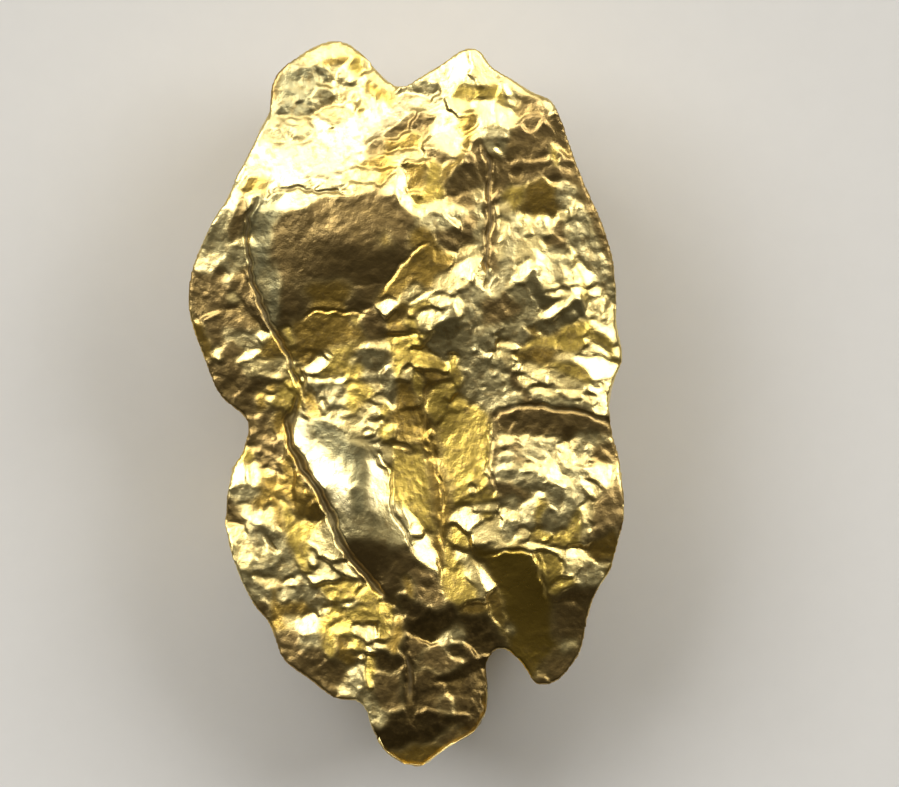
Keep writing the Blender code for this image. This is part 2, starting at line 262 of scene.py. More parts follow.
RIGHT_CROWN = facets(
    (0.12, 4.48, 0.13, 0.06, 100, 28, 330, 0.1),
    (0.32, 4.5, 0.09, 0.06, 70, 13, 350, 0.15),
    (0.22, 4.32, 0.22, 0.09, 95, 7, 200, 0.25, PALE),
    (0.18, 4.15, 0.09, 0.08, 90, 15, 350, 0.1, PALE),
    (0.4, 4.18, 0.07, 0.08, 0, 4, 200, 0.25, SAGE),
    (0.38, 4.04, 0.15, 0.05, 60, 12, 340, 0.15),
    (0.7, 4.08, 0.15, 0.07, 122, 22, 20, 0.06),
    (0.75, 4.6, 0.1, 0.14, 0, 21, 330, 0.08),
    (0.58, 4.6, 0.13, 0.06, 45, 12, 320, 0.15),
    (0.86, 4.42, 0.07, 0.09, 0, 18, 345, 0.08),
    (1.07, 4.55, 0.13, 0.18, 0, 21, 25, 0.05),
    (0.54, 4.32, 0.09, 0.08, 45, 12, 330, 0.15),
    (0.8, 4.27, 0.2, 0.06, 85, 9, 0, 0.12, YELLOW),
    (1.12, 4.28, 0.17, 0.07, 88, 8, 10, 0.1, YELLOW),
    (1.31, 4.18, 0.13, 0.03, 168, 7, 40, 0.1, YELLOW),
    (1.38, 4.33, 0.14, 0.05, 150, 22, 40, 0.06),
    (1.28, 4.5, 0.12, 0.05, 145, 12, 50, 0.12),
    (1.72, 4.26, 0.24, 0.07, 104, 22, 25, 0.06),
    (1.95, 4.14, 0.1, 0.07, 130, 14, 40, 0.1, PALE),
    (1.1, 3.98, 0.15, 0.12, 20, 21, 350, 0.05),
    (1.35, 3.95, 0.14, 0.14, 0, 21, 25, 0.05),
    (1.46, 4.11, 0.05, 0.11, 0, 18, 40, 0.06),
    (1.18, 3.71, 0.2, 0.1, 90, 12, 340, 0.2, PALE),
    (1.2, 3.55, 0.13, 0.09, 90, 4, 330, 0.2, PALE),
    (1.25, 3.46, 0.05, 0.05, 0, 20, 20, 0.04),
)

CREASE = facets(
    (1.1, 3.2, 0.38, 0.07, 167, 10, 150, 0.12, BROWN),
    (1.29, 3.15, 0.25, 0.07, 155, 7, 300, 0.15, BROWN),
    (1.17, 2.7, 0.22, 0.05, 10, 21, 190, 0.1, BROWN),
    (1.07, 2.4, 0.33, 0.04, 5, 21, 190, 0.1, BROWN),
    (0.99, 2.45, 0.3, 0.03, 3, 9, 330, 0.1, PALE),
    (1.18, 2.4, 0.33, 0.04, 5, 6, 310, 0.1, BROWN),
    (1.13, 1.98, 0.18, 0.08, 0, 3, 300, 0.25, BROWN),
    (1.12, 1.75, 0.16, 0.05, 0, 12, 190, 0.2, PALE),
)

RIGHT_SHOULDER = facets(
    (1.55, 3.64, 0.2, 0.12, 10, 7, 190, 0.15, BROWN),
    (1.67, 4.05, 0.16, 0.11, 95, 4, 0, 0.2, BROWN),
    (1.68, 3.86, 0.1, 0.1, 0, 2, 60, 0.2, BROWN),
    (1.8, 3.52, 0.2, 0.14, 20, 5, 190, 0.2, BROWN),
    (1.9, 3.92, 0.18, 0.03, 155, 10, 170, 0.1, BROWN),
    (1.97, 3.72, 0.18, 0.03, 158, 7, 50, 0.1, BROWN),
    (2.0, 3.42, 0.13, 0.04, 172, 6, 60, 0.06, YELLOW),
    (2.12, 3.7, 0.35, 0.05, 168, 20, 150, 0.15, BROWN),
    (2.24, 3.18, 0.2, 0.07, 160, 16, 100, 0.3, BROWN),
    (1.72, 3.24, 0.26, 0.09, 62, 9, 180, 0.15, BROWN),
    (1.62, 3.06, 0.15, 0.06, 70, 6, 190, 0.2, BROWN),
    (1.5, 2.86, 0.13, 0.13, 0, 5, 350, 0.12, YELLOW),
    (1.86, 2.82, 0.22, 0.17, 80, 5, 200, 0.12, AMBER),
    (1.98, 3.1, 0.1, 0.1, 0, 11, 185, 0.15, BROWN),
    (1.35, 2.68, 0.13, 0.05, 15, 13, 350, 0.08),
    (2.17, 2.88, 0.13, 0.09, 40, 4, 40, 0.4, PALE),
    (2.3, 2.7, 0.11, 0.06, 45, 20, 40, 0.08),
    (2.15, 2.62, 0.06, 0.05, 0, 14, 10, 0.1),
    (2.42, 2.45, 0.35, 0.07, 163, 12, 115, 0.25, PALE),
    (2.55, 2.4, 0.45, 0.06, 163, 18, 100, 0.2, BROWN),
)

RIGHT_CHEEK = facets(
    (1.3, 2.35, 0.15, 0.06, 5, 20, 340, 0.08),
    (1.3, 2.14, 0.11, 0.06, 20, 13, 340, 0.1),
    (1.55, 2.5, 0.13, 0.03, 2, 6, 340, 0.15),
    (1.68, 2.48, 0.13, 0.04, 0, 20, 10, 0.12),
    (1.93, 2.42, 0.15, 0.05, 5, 21, 20, 0.08),
    (1.81, 2.45, 0.13, 0.05, 0, 7, 0, 0.3, PALE),
    (1.45, 2.3, 0.2, 0.08, 5, 8, 350, 0.3, PALE),
    (1.7, 2.12, 0.16, 0.08, 50, 13, 0, 0.15),
    (1.81, 2.0, 0.12, 0.04, 155, 18, 45, 0.08),
    (2.03, 2.22, 0.16, 0.06, 95, 4, 200, 0.25, BROWN),
    (2.15, 2.36, 0.12, 0.06, 150, 5, 190, 0.25, BROWN),
    (2.3, 2.3, 0.18, 0.05, 170, 6, 40, 0.3, PALE),
    (1.59, 1.8, 0.21, 0.09, 15, 22, 350, 0.05),
    (1.55, 2.06, 0.09, 0.07, 0, 10, 350, 0.2),
    (1.38, 1.86, 0.17, 0.07, 5, 8, 330, 0.15, PALE),
    (1.41, 1.64, 0.05, 0.05, 0, 19, 350, 0.05),
    (1.75, 1.62, 0.26, 0.07, 155, 11, 190, 0.08, PALE),
    (1.6, 1.5, 0.16, 0.12, 110, 5, 270, 0.3, PALE),
    (2.03, 1.9, 0.17, 0.13, 0, 9, 10, 0.3, PALE),
    (2.12, 2.02, 0.13, 0.04, 80, 19, 20, 0.1),
    (2.32, 1.88, 0.26, 0.03, 163, 21, 40, 0.06),
    (2.4, 1.68, 0.26, 0.02, 165, 11, 35, 0.06, YELLOW),
    (2.48, 1.74, 0.13, 0.05, 155, 21, 45, 0.08),
    (2.6, 1.55, 0.09, 0.06, 160, 20, 50, 0.1),
    (2.2, 1.75, 0.12, 0.08, 0, 18, 35, 0.2),
    (1.96, 1.66, 0.12, 0.08, 150, 15, 30, 0.25),
    (2.1, 1.52, 0.13, 0.05, 85, 19, 10, 0.08),
    (2.3, 1.57, 0.06, 0.06, 0, 20, 30, 0.08),
    (2.12, 1.34, 0.18, 0.05, 50, 22, 335, 0.06),
    (2.37, 1.32, 0.14, 0.06, 150, 13, 170, 0.05, PALE),
    (2.18, 1.19, 0.14, 0.06, 70, 4, 180, 0.15, PALE),
    (1.87, 1.19, 0.07, 0.05, 45, 19, 345, 0.06),
    (1.9, 1.05, 0.15, 0.07, 85, 7, 200, 0.3, PALE),
    (2.57, 2.02, 0.3, 0.07, 170, 13, 85, 0.2, PALE),
    (2.7, 1.75, 0.35, 0.05, 171, 18, 115, 0.2, PALE),
    (2.58, 1.28, 0.14, 0.09, 145, 11, 30, 0.3),
    (2.79, 1.12, 0.22, 0.06, 168, 22, 50, 0.06),
    (2.63, 1.1, 0.1, 0.05, 145, 18, 30, 0.15),
    (2.64, 0.93, 0.23, 0.06, 138, 8, 45, 0.08, YELLOW),
    (2.9, 0.76, 0.06, 0.06, 0, 20, 50, 0.08),
    (1.2, 1.35, 0.22, 0.16, 90, 5, 220, 0.35, BROWN),
    (1.45, 1.3, 0.15, 0.1, 70, 3, 300, 0.35, BROWN),
    (1.7, 1.25, 0.14, 0.1, 40, 5, 290, 0.35, PALE),
    (1.2, 1.6, 0.1, 0.08, 0, 5, 340, 0.25, PALE),
)

RIGHT_BAND = facets(
    (2.32, 1.03, 0.16, 0.09, 80, 12, 335, 0.15, YELLOW),
    (1.98, 0.9, 0.25, 0.06, 78, 10, 335, 0.12, YELLOW),
    (1.68, 0.79, 0.12, 0.03, 65, 15, 345, 0.06, YELLOW),
    (1.7, 0.65, 0.24, 0.07, 85, 5, 340, 0.15, AMBER),
    (1.92, 0.56, 0.17, 0.04, 75, 15, 335, 0.1, YELLOW),
    (2.3, 0.83, 0.2, 0.08, 85, 9, 340, 0.15, YELLOW),
    (2.17, 0.68, 0.13, 0.05, 82, 14, 0, 0.1),
    (1.75, 1.02, 0.12, 0.07, 130, 6, 0, 0.25, AMBER),
    (1.53, 0.95, 0.14, 0.1, 100, 4, 260, 0.3, PALE),
)

WHITE_BLOCK = facets(
    (2.62, 0.8, 0.16, 0.07, 130, 19, 35, 0.08),
    (2.48, 0.72, 0.11, 0.08, 0, 17, 30, 0.15),
    (2.62, 0.52, 0.22, 0.12, 110, 22, 30, 0.06),
    (2.78, 0.25, 0.1, 0.25, 0, 24, 44, 0.06),
    (2.67, 0.02, 0.13, 0.09, 20, 21, 40, 0.08),
    (2.45, 0.1, 0.16, 0.06, 115, 18, 20, 0.1),
    (2.63, 0.27, 0.06, 0.08, 0, 28, 38, 0.2),
    (1.8, 0.42, 0.13, 0.13, 40, 21, 340, 0.12),
    (1.96, 0.5, 0.07, 0.05, 60, 20, 0, 0.1),
    (1.66, 0.28, 0.07, 0.15, 0, 17, 330, 0.1),
    (1.9, 0.17, 0.2, 0.06, 98, 21, 350, 0.08),
    (2.25, 0.15, 0.2, 0.06, 92, 21, 0, 0.08),
    (2.3, 0.43, 0.18, 0.08, 112, 8, 350, 0.15, YELLOW),
    (2.22, 0.29, 0.2, 0.05, 90, 13, 10, 0.12),
    (2.0, 0.36, 0.07, 0.1, 0, 11, 0, 0.15),
    (1.35, 0.79, 0.14, 0.05, 95, 22, 335, 0.05),
    (1.38, 0.62, 0.15, 0.06, 112, 18, 335, 0.15),
    (1.5, 0.52, 0.06, 0.05, 0, 21, 350, 0.06),
    (0.94, 0.84, 0.15, 0.04, 8, 30, 325, 0.08, PALE),
    (1.12, 1.0, 0.14, 0.04, 80, 6, 330, 0.15, PALE),
    (1.1, 0.84, 0.08, 0.1, 0, 5, 210, 0.3, PALE),
    (1.12, 0.71, 0.04, 0.04, 0, 32, 340, 0.05),
    (0.98, 0.56, 0.16, 0.1, 0, 6, 200, 0.4, PALE),
    (1.22, 0.35, 0.18, 0.14, 120, 4, 290, 0.35, PALE),
    (0.95, 0.25, 0.17, 0.14, 0, 3, 300, 0.45, PALE),
    (1.4, 0.03, 0.13, 0.06, 70, 8, 340, 0.35, PALE),
    (1.15, 0.05, 0.13, 0.09, 90, 3, 320, 0.45, PALE),
    (1.5, 0.3, 0.2, 0.06, 150, 5, 190, 0.2, BROWN),
    (1.33, 0.22, 0.1, 0.05, 0, 18, 325, 0.3, PALE),
)

RIGHT_FOLD = facets(
    (1.42, -0.17, 0.22, 0.1, 75, 11, 190, 0.15, BROWN),
    (1.75, -0.15, 0.22, 0.12, 95, 4, 200, 0.2, BROWN),
    (2.15, -0.2, 0.3, 0.11, 98, 3, 200, 0.2, BROWN),
    (2.24, -0.38, 0.09, 0.08, 0, 20, 170, 0.1, BROWN),
    (2.66, -0.28, 0.22, 0.09, 122, 7, 140, 0.25, BROWN),
    (2.15, 0.02, 0.3, 0.04, 96, 8, 350, 0.2, PALE),
    (2.5, -0.12, 0.2, 0.04, 112, 5, 20, 0.15, BROWN),
    (2.8, -0.46, 0.09, 0.03, 65, 20, 45, 0.1),
    (1.75, -0.34, 0.25, 0.07, 98, 4, 280, 0.25, BROWN),
    (2.48, -0.45, 0.18, 0.07, 95, 3, 200, 0.25, PALE),
    (1.2, -0.55, 0.35, 0.04, 0, 4, 130, 0.2, BROWN),
)

RIGHT_HAUNCH = facets(
    (1.34, -0.48, 0.11, 0.05, 92, 19, 345, 0.12),
    (1.75, -0.6, 0.2, 0.13, 90, 7, 350, 0.25, PALE),
    (1.47, -0.58, 0.12, 0.08, 90, 8, 190, 0.3, BROWN),
    (1.35, -0.74, 0.1, 0.08, 45, 8, 340, 0.3, PALE),
    (1.58, -0.76, 0.14, 0.06, 95, 6, 190, 0.25, BROWN),
    (2.1, -0.6, 0.05, 0.05, 0, 20, 20, 0.05),
    (2.22, -0.72, 0.14, 0.07, 140, 15, 20, 0.2),
    (1.66, -0.87, 0.24, 0.03, 88, 13, 345, 0.12),
    (1.87, -0.9, 0.07, 0.05, 45, 20, 345, 0.05),
    (2.0, -0.92, 0.13, 0.05, 155, 18, 25, 0.08),
    (2.16, -1.07, 0.09, 0.07, 130, 20, 20, 0.1),
    (1.5, -1.0, 0.17, 0.09, 90, 4, 230, 0.25, PALE),
    (1.42, -1.18, 0.17, 0.1, 100, 7, 190, 0.25, BROWN),
    (1.75, -1.05, 0.13, 0.09, 60, 5, 220, 0.3, PALE),
    (2.4, -0.62, 0.14, 0.12, 0, 4, 330, 0.4, PALE),
    (2.65, -0.68, 0.16, 0.12, 90, 4, 290, 0.35, BROWN),
    (2.68, -0.97, 0.14, 0.15, 0, 21, 45, 0.08),
    (2.52, -1.2, 0.1, 0.12, 0, 20, 30, 0.12),
    (2.32, -0.95, 0.09, 0.13, 0, 4, 300, 0.35, PALE),
    (2.3, -1.22, 0.13, 0.09, 120, 8, 0, 0.35, PALE),
    (2.44, -1.6, 0.3, 0.05, 4, 31, 20, 0.12),
    (2.3, -1.72, 0.18, 0.07, 0, 7, 330, 0.2, YELLOW),
    (2.68, -1.5, 0.3, 0.11, 8, 3, 260, 0.3, BROWN),
    (2.87, -1.25, 0.28, 0.05, 172, 18, 100, 0.2, BROWN),
    (1.86, -1.28, 0.06, 0.05, 0, 24, 335, 0.06),
    (1.83, -1.46, 0.17, 0.07, 20, 9, 330, 0.2, YELLOW),
    (1.65, -1.58, 0.15, 0.1, 20, 11, 325, 0.3, PALE),
    (1.4, -1.5, 0.13, 0.05, 125, 20, 345, 0.08),
    (1.37, -1.33, 0.12, 0.06, 80, 4, 290, 0.2, PALE),
    (1.98, -1.58, 0.17, 0.1, 20, 8, 190, 0.2, PALE),
    (2.02, -1.25, 0.15, 0.08, 150, 6, 200, 0.3, PALE),
    (2.17, -1.47, 0.15, 0.1, 0, 3, 240, 0.35, PALE),
    (1.58, -1.77, 0.08, 0.07, 0, 20, 345, 0.08),
    (1.42, -1.73, 0.1, 0.08, 0, 3, 300, 0.25, PALE),
    (1.83, -1.82, 0.13, 0.07, 90, 20, 325, 0.2, YELLOW),
    (2.08, -1.85, 0.12, 0.08, 60, 8, 340, 0.25, YELLOW),
    (1.74, -1.96, 0.13, 0.05, 92, 24, 0, 0.1),
    (1.3, -1.93, 0.2, 0.05, 92, 18, 350, 0.12),
    (2.05, -2.03, 0.11, 0.05, 140, 25, 28, 0.08),
    (2.3, -2.12, 0.19, 0.09, 25, 28, 40, 0.06),
    (1.85, -2.28, 0.22, 0.05, 165, 24, 28, 0.08, YELLOW),
    (2.02, -2.25, 0.15, 0.07, 10, 17, 10, 0.15, YELLOW),
    (2.1, -2.48, 0.15, 0.07, 75, 18, 330, 0.2, YELLOW),
    (2.7, -1.98, 0.2, 0.11, 10, 6, 200, 0.2, AMBER),
    (2.68, -2.2, 0.09, 0.04, 75, 12, 40, 0.12, PALE),
    (2.5, -2.3, 0.15, 0.09, 40, 3, 60, 0.25, PALE),
)

HOLLOW = facets(
    (1.25, -2.17, 0.2, 0.13, 110, 4, 190, 0.04, OLIVE, True),
    (1.58, -2.4, 0.36, 0.2, 165, 3, 200, 0.03, OLIVE, True),
    (1.65, -2.95, 0.32, 0.27, 170, 3, 190, 0.04, OLIVE, True),
    (1.78, -3.38, 0.22, 0.2, 0, 7, 180, 0.08, OLIVE, True),
    (2.3, -2.62, 0.24, 0.06, 80, 13, 180, 0.15, BROWN),
    (2.15, -2.9, 0.24, 0.13, 10, 8, 180, 0.25, BROWN),
    (2.38, -3.02, 0.3, 0.05, 168, 6, 60, 0.2, BROWN),
    (2.2, -3.3, 0.06, 0.05, 60, 6, 20, 0.1, PALE),
    (1.41, -3.1, 0.1, 0.05, 150, 5, 320, 0.1, PALE),
    (2.0, -3.58, 0.18, 0.16, 30, 9, 170, 0.2, BROWN),
    (1.8, -3.84, 0.16, 0.06, 90, 14, 180, 0.2, BROWN),
    (1.25, -2.8, 0.25, 0.07, 160, 5, 300, 0.2, AMBER),
)

TOE = facets(
    (0.27, -3.02, 0.22, 0.15, 100, 22, 180, 0.08, UMBER),
    (0.08, -2.78, 0.15, 0.08, 120, 16, 200, 0.1, UMBER),
    (0.55, -2.86, 0.14, 0.1, 0, 13, 180, 0.15, UMBER),
    (0.73, -3.12, 0.12, 0.08, 160, 4, 330, 0.15, PALE),
    (0.56, -3.2, 0.07, 0.07, 0, 11, 345, 0.2, PALE),
    (0.9, -3.05, 0.1, 0.22, 0, 9, 180, 0.15, UMBER),
    (0.72, -3.36, 0.18, 0.1, 80, 5, 190, 0.15, UMBER),
    (1.05, -3.25, 0.12, 0.22, 0, 12, 170, 0.15, UMBER),
    (0.42, -3.5, 0.22, 0.14, 75, 4, 240, 0.2, BROWN),
    (0.14, -3.36, 0.12, 0.1, 0, 5, 240, 0.2, UMBER),
    (0.75, -3.67, 0.34, 0.06, 70, 26, 175, 0.1, UMBER),
    (0.85, -3.86, 0.2, 0.09, 72, 5, 200, 0.2, UMBER),
    (0.27, -3.74, 0.12, 0.1, 0, 4, 300, 0.2, UMBER),
    (0.32, -4.0, 0.13, 0.16, 0, 4, 240, 0.2, UMBER),
    (0.55, -4.1, 0.07, 0.1, 0, 4, 300, 0.15, BROWN),
    (0.78, -4.12, 0.07, 0.18, 10, 5, 180, 0.15, UMBER),
    (0.97, -4.08, 0.22, 0.05, 35, 4, 320, 0.12, UMBER),
    (1.13, -3.82, 0.2, 0.06, 15, 3, 60, 0.15, UMBER),
    (0.62, -4.32, 0.2, 0.09, 80, 14, 180, 0.15, UMBER),
    (0.28, -4.45, 0.16, 0.18, 0, 18, 190, 0.12, UMBER),
    (0.58, -4.56, 0.16, 0.06, 65, 7, 200, 0.2, BROWN),
    (0.9, -4.42, 0.17, 0.08, 35, 6, 150, 0.2, UMBER),
    (0.25, -4.84, 0.3, 0.09, 72, 6, 200, 0.12, AMBER),
    (-0.1, -4.5, 0.13, 0.3, 0, 18, 200, 0.12, UMBER),
    (0.04, -3.8, 0.42, 0.05, 175, 26, 180, 0.08, UMBER),
    (-0.27, -3.84, 0.17, 0.14, 0, 4, 280, 0.2, BROWN),
    (-0.28, -3.55, 0.15, 0.13, 0, 11, 200, 0.15, UMBER),
    (-0.14, -3.18, 0.25, 0.06, 12, 10, 335, 0.15, AMBER),
    (-0.76, -3.92, 0.13, 0.07, 120, 15, 320, 0.5, PALE),
    (-0.55, -4.12, 0.16, 0.06, 150, 5, 270, 0.5, PALE),
    (-0.38, -4.38, 0.13, 0.08, 120, 9, 340, 0.45, PALE),
    (-0.75, -4.15, 0.12, 0.08, 140, 4, 250, 0.2, BROWN),
    (-0.5, -4.6, 0.35, 0.04, 145, 8, 240, 0.15, UMBER),
)

GILDED = facets(
    (-0.75, -2.73, 0.13, 0.04, 72, 25, 335, 0.06),
    (-0.53, -2.58, 0.17, 0.1, 60, 19, 330, 0.3, YELLOW),
    (-0.9, -2.58, 0.2, 0.1, 90, 19, 325, 0.35, YELLOW),
    (-0.6, -2.86, 0.2, 0.08, 88, 13, 335, 0.25, YELLOW),
    (-0.88, -2.98, 0.14, 0.14, 0, 14, 325, 0.35, YELLOW),
    (-0.26, -2.97, 0.2, 0.09, 15, 20, 32, 0.15, YELLOW),
    (-0.5, -3.2, 0.13, 0.1, 120, 25, 20, 0.1),
    (-0.44, -3.36, 0.1, 0.07, 0, 30, 15, 0.08),
    (-0.33, -3.31, 0.06, 0.05, 0, 32, 20, 0.08),
    (-0.64, -3.3, 0.09, 0.1, 0, 17, 340, 0.2, YELLOW),
    (-0.61, -3.48, 0.05, 0.05, 0, 24, 350, 0.06),
    (-1.07, -3.3, 0.15, 0.09, 0, 12, 325, 0.1, YELLOW),
    (-0.87, -3.26, 0.09, 0.08, 0, 4, 330, 0.2, AMBER),
    (-0.5, -3.62, 0.19, 0.06, 15, 26, 32, 0.1, YELLOW),
    (-0.7, -3.02, 0.05, 0.05, 0, 30, 350, 0.1),
    (-0.84, -3.46, 0.12, 0.07, 110, 8, 200, 0.2, AMBER),
    (-0.7, -3.74, 0.12, 0.09, 0, 15, 340, 0.5, PALE),
    (-0.98, -3.68, 0.17, 0.13, 120, 13, 190, 0.2, BROWN),
    (-1.3, -3.42, 0.18, 0.08, 100, 7, 220, 0.25, BROWN),
    (-1.38, -3.62, 0.18, 0.08, 125, 9, 230, 0.25, BROWN),
)

LEFT_HAUNCH = facets(
    (-1.62, -3.28, 0.2, 0.12, 130, 8, 230, 0.4, BROWN),
    (-1.76, -3.02, 0.1, 0.09, 0, 9, 320, 0.4, AMBER),
    (-1.34, -3.02, 0.08, 0.11, 0, 22, 345, 0.05),
    (-1.55, -2.98, 0.13, 0.06, 88, 15, 340, 0.25),
    (-1.37, -3.25, 0.12, 0.08, 60, 6, 290, 0.3, PALE),
    (-1.09, -1.92, 0.24, 0.11, 152, 21, 335, 0.12),
    (-1.15, -2.3, 0.13, 0.14, 0, 22, 345, 0.06),
    (-1.3, -2.15, 0.1, 0.07, 0, 20, 330, 0.1),
    (-0.86, -2.24, 0.13, 0.05, 108, 24, 30, 0.12),
    (-1.45, -1.9, 0.36, 0.06, 160, 13, 325, 0.12, YELLOW),
    (-1.63, -1.62, 0.34, 0.04, 167, 12, 325, 0.08, YELLOW),
    (-1.4, -1.3, 0.2, 0.11, 150, 3, 190, 0.15, AMBER),
    (-1.62, -0.85, 0.2, 0.1, 150, 5, 220, 0.2, AMBER),
    (-1.48, -1.05, 0.22, 0.06, 150, 7, 200, 0.15, AMBER),
    (-1.29, -1.47, 0.13, 0.07, 150, 10, 180, 0.1, AMBER),
    (-1.62, -1.22, 0.17, 0.09, 150, 4, 300, 0.2, AMBER),
    (-1.27, -1.68, 0.12, 0.08, 150, 12, 330, 0.15, YELLOW),
    (-1.32, -1.08, 0.38, 0.03, 142, 13, 190, 0.08, BROWN),
    (-1.85, -1.15, 0.2, 0.12, 160, 4, 290, 0.25, AMBER),
    (-1.78, -1.48, 0.18, 0.07, 165, 3, 280, 0.15, AMBER),
    (-1.89, -0.97, 0.05, 0.05, 0, 6, 300, 0.06),
    (-1.88, -0.78, 0.2, 0.1, 135, 15, 190, 0.25, BROWN),
    (-2.0, -0.57, 0.2, 0.09, 100, 7, 200, 0.3, BROWN),
    (-1.74, -0.62, 0.18, 0.07, 170, 4, 230, 0.2, BROWN),
    (-1.65, -0.42, 0.1, 0.03, 5, 5, 320, 0.05, AMBER),
    (-2.3, -0.95, 0.15, 0.1, 0, 22, 315, 0.08),
    (-2.1, -0.96, 0.17, 0.07, 165, 22, 335, 0.08),
    (-2.29, -0.7, 0.13, 0.05, 15, 20, 325, 0.1, YELLOW),
    (-2.18, -0.74, 0.09, 0.06, 0, 5, 350, 0.2, YELLOW),
    (-2.22, -1.24, 0.17, 0.11, 95, 3, 280, 0.35, PALE),
    (-2.16, -1.5, 0.15, 0.08, 125, 17, 325, 0.15),
    (-1.88, -1.56, 0.18, 0.07, 155, 21, 335, 0.08),
    (-2.02, -1.38, 0.1, 0.1, 0, 6, 330, 0.25, AMBER),
    (-2.37, -1.52, 0.25, 0.06, 165, 19, 215, 0.2, BROWN),
    (-2.4, -1.98, 0.15, 0.06, 170, 28, 322, 0.12),
    (-2.22, -2.12, 0.16, 0.09, 165, 14, 330, 0.35),
    (-2.32, -1.78, 0.12, 0.06, 165, 14, 320, 0.3),
    (-2.03, -1.83, 0.22, 0.07, 145, 3, 250, 0.2, PALE),
    (-1.83, -1.93, 0.22, 0.04, 150, 9, 200, 0.1, PALE),
    (-1.95, -2.05, 0.09, 0.07, 0, 8, 300, 0.3),
    (-1.68, -2.12, 0.28, 0.09, 155, 3, 270, 0.35, PALE),
    (-1.9, -2.42, 0.15, 0.06, 105, 18, 340, 0.15),
    (-1.58, -2.4, 0.07, 0.06, 0, 24, 335, 0.1),
    (-2.02, -2.25, 0.15, 0.07, 120, 4, 230, 0.35, PALE),
    (-2.12, -2.52, 0.25, 0.08, 135, 7, 240, 0.3, PALE),
    (-1.66, -2.62, 0.11, 0.05, 60, 14, 330, 0.2, PALE),
    (-1.44, -2.58, 0.15, 0.06, 10, 4, 290, 0.25, PALE),
    (-1.28, -2.68, 0.14, 0.09, 90, 4, 280, 0.35, PALE),
    (-1.76, -2.82, 0.13, 0.1, 0, 4, 300, 0.35, AMBER),
    (-1.5, -2.8, 0.12, 0.08, 90, 9, 325, 0.3, AMBER),
    (-1.15, -2.81, 0.05, 0.04, 0, 15, 350, 0.1),
    (-1.95, -2.85, 0.25, 0.06, 155, 30, 250, 0.25, BROWN),
)

WAIST = facets(
    (-2.12, 0.26, 0.27, 0.1, 85, 6, 200, 0.25, BROWN),
    (-2.2, 0.0, 0.2, 0.12, 110, 11, 190, 0.2, BROWN),
    (-2.42, 0.2, 0.15, 0.12, 0, 5, 250, 0.25, BROWN),
    (-1.85, 0.1, 0.06, 0.04, 0, 20, 335, 0.06),
    (-1.66, 0.09, 0.15, 0.09, 0, 6, 350, 0.15, YELLOW),
    (-1.6, 0.28, 0.11, 0.07, 0, 16, 340, 0.12, YELLOW),
    (-1.77, 0.39, 0.24, 0.04, 96, 17, 350, 0.08),
    (-1.49, 0.13, 0.19, 0.03, 2, 14, 30, 0.06, YELLOW),
    (-1.97, 0.0, 0.14, 0.09, 0, 11, 318, 0.4, AMBER),
    (-2.15, -0.27, 0.15, 0.13, 0, 4, 290, 0.4, BROWN),
    (-1.93, -0.25, 0.15, 0.1, 20, 4, 230, 0.3, BROWN),
    (-2.0, -0.41, 0.2, 0.05, 95, 13, 190, 0.2, BROWN),
    (-1.75, -0.27, 0.13, 0.08, 0, 3, 280, 0.25, AMBER),
    (-1.85, 0.24, 0.1, 0.06, 90, 6, 325, 0.25, AMBER),
)

LEFT_FLANK = facets(
    (-2.35, 2.84, 0.26, 0.06, 20, 22, 315, 0.06),
    (-2.56, 2.35, 0.28, 0.06, 20, 7, 290, 0.12, PALE),
    (-2.65, 1.98, 0.22, 0.09, 38, 12, 312, 0.15, PALE),
    (-2.27, 2.2, 0.13, 0.06, 55, 17, 340, 0.15),
    (-2.3, 2.52, 0.28, 0.07, 14, 8, 320, 0.15, BROWN),
    (-2.13, 2.8, 0.11, 0.04, 15, 10, 330, 0.15),
    (-2.78, 1.74, 0.15, 0.08, 10, 18, 265, 0.15, BROWN),
    (-2.6, 1.62, 0.18, 0.09, 5, 4, 300, 0.25, BROWN),
    (-2.38, 1.95, 0.2, 0.09, 15, 4, 300, 0.2, PALE),
    (-2.32, 1.68, 0.14, 0.1, 0, 3, 300, 0.25, BROWN),
    (-2.36, 1.47, 0.09, 0.05, 5, 9, 340, 0.15),
    (-2.5, 1.42, 0.09, 0.08, 0, 5, 320, 0.3, BROWN),
    (-2.68, 1.35, 0.15, 0.09, 0, 14, 195, 0.25, BROWN),
    (-2.4, 1.32, 0.09, 0.06, 90, 9, 190, 0.15, BROWN),
    (-2.63, 1.08, 0.2, 0.08, 168, 14, 185, 0.25, BROWN),
    (-2.17, 1.5, 0.24, 0.07, 165, 7, 210, 0.2, BROWN),
    (-2.25, 1.15, 0.2, 0.14, 0, 9, 325, 0.35, BROWN),
    (-2.22, 0.9, 0.17, 0.11, 90, 6, 325, 0.3, PALE),
    (-2.35, 0.75, 0.12, 0.09, 0, 3, 260, 0.3, BROWN),
    (-1.96, 0.95, 0.09, 0.05, 40, 19, 350, 0.08),
    (-2.88, 1.42, 0.35, 0.05, 175, 15, 195, 0.2, BROWN),
    (-2.8, 0.95, 0.25, 0.05, 160, 22, 265, 0.15, AMBER),
    (-2.58, 0.68, 0.08, 0.04, 5, 21, 315, 0.05),
    (-2.3, 0.6, 0.07, 0.04, 60, 17, 335, 0.08),
    (-2.13, 0.66, 0.12, 0.04, 65, 21, 345, 0.06),
    (-2.5, 0.5, 0.15, 0.08, 95, 5, 290, 0.2, BROWN),
    (-1.86, 0.75, 0.15, 0.1, 20, 6, 325, 0.25, AMBER),
    (-1.9, 0.55, 0.2, 0.07, 90, 12, 340, 0.3),
    (-2.03, 1.35, 0.22, 0.05, 160, 6, 320, 0.2, BROWN),
    (-1.93, 1.15, 0.13, 0.05, 160, 4, 240, 0.2, BROWN),
)

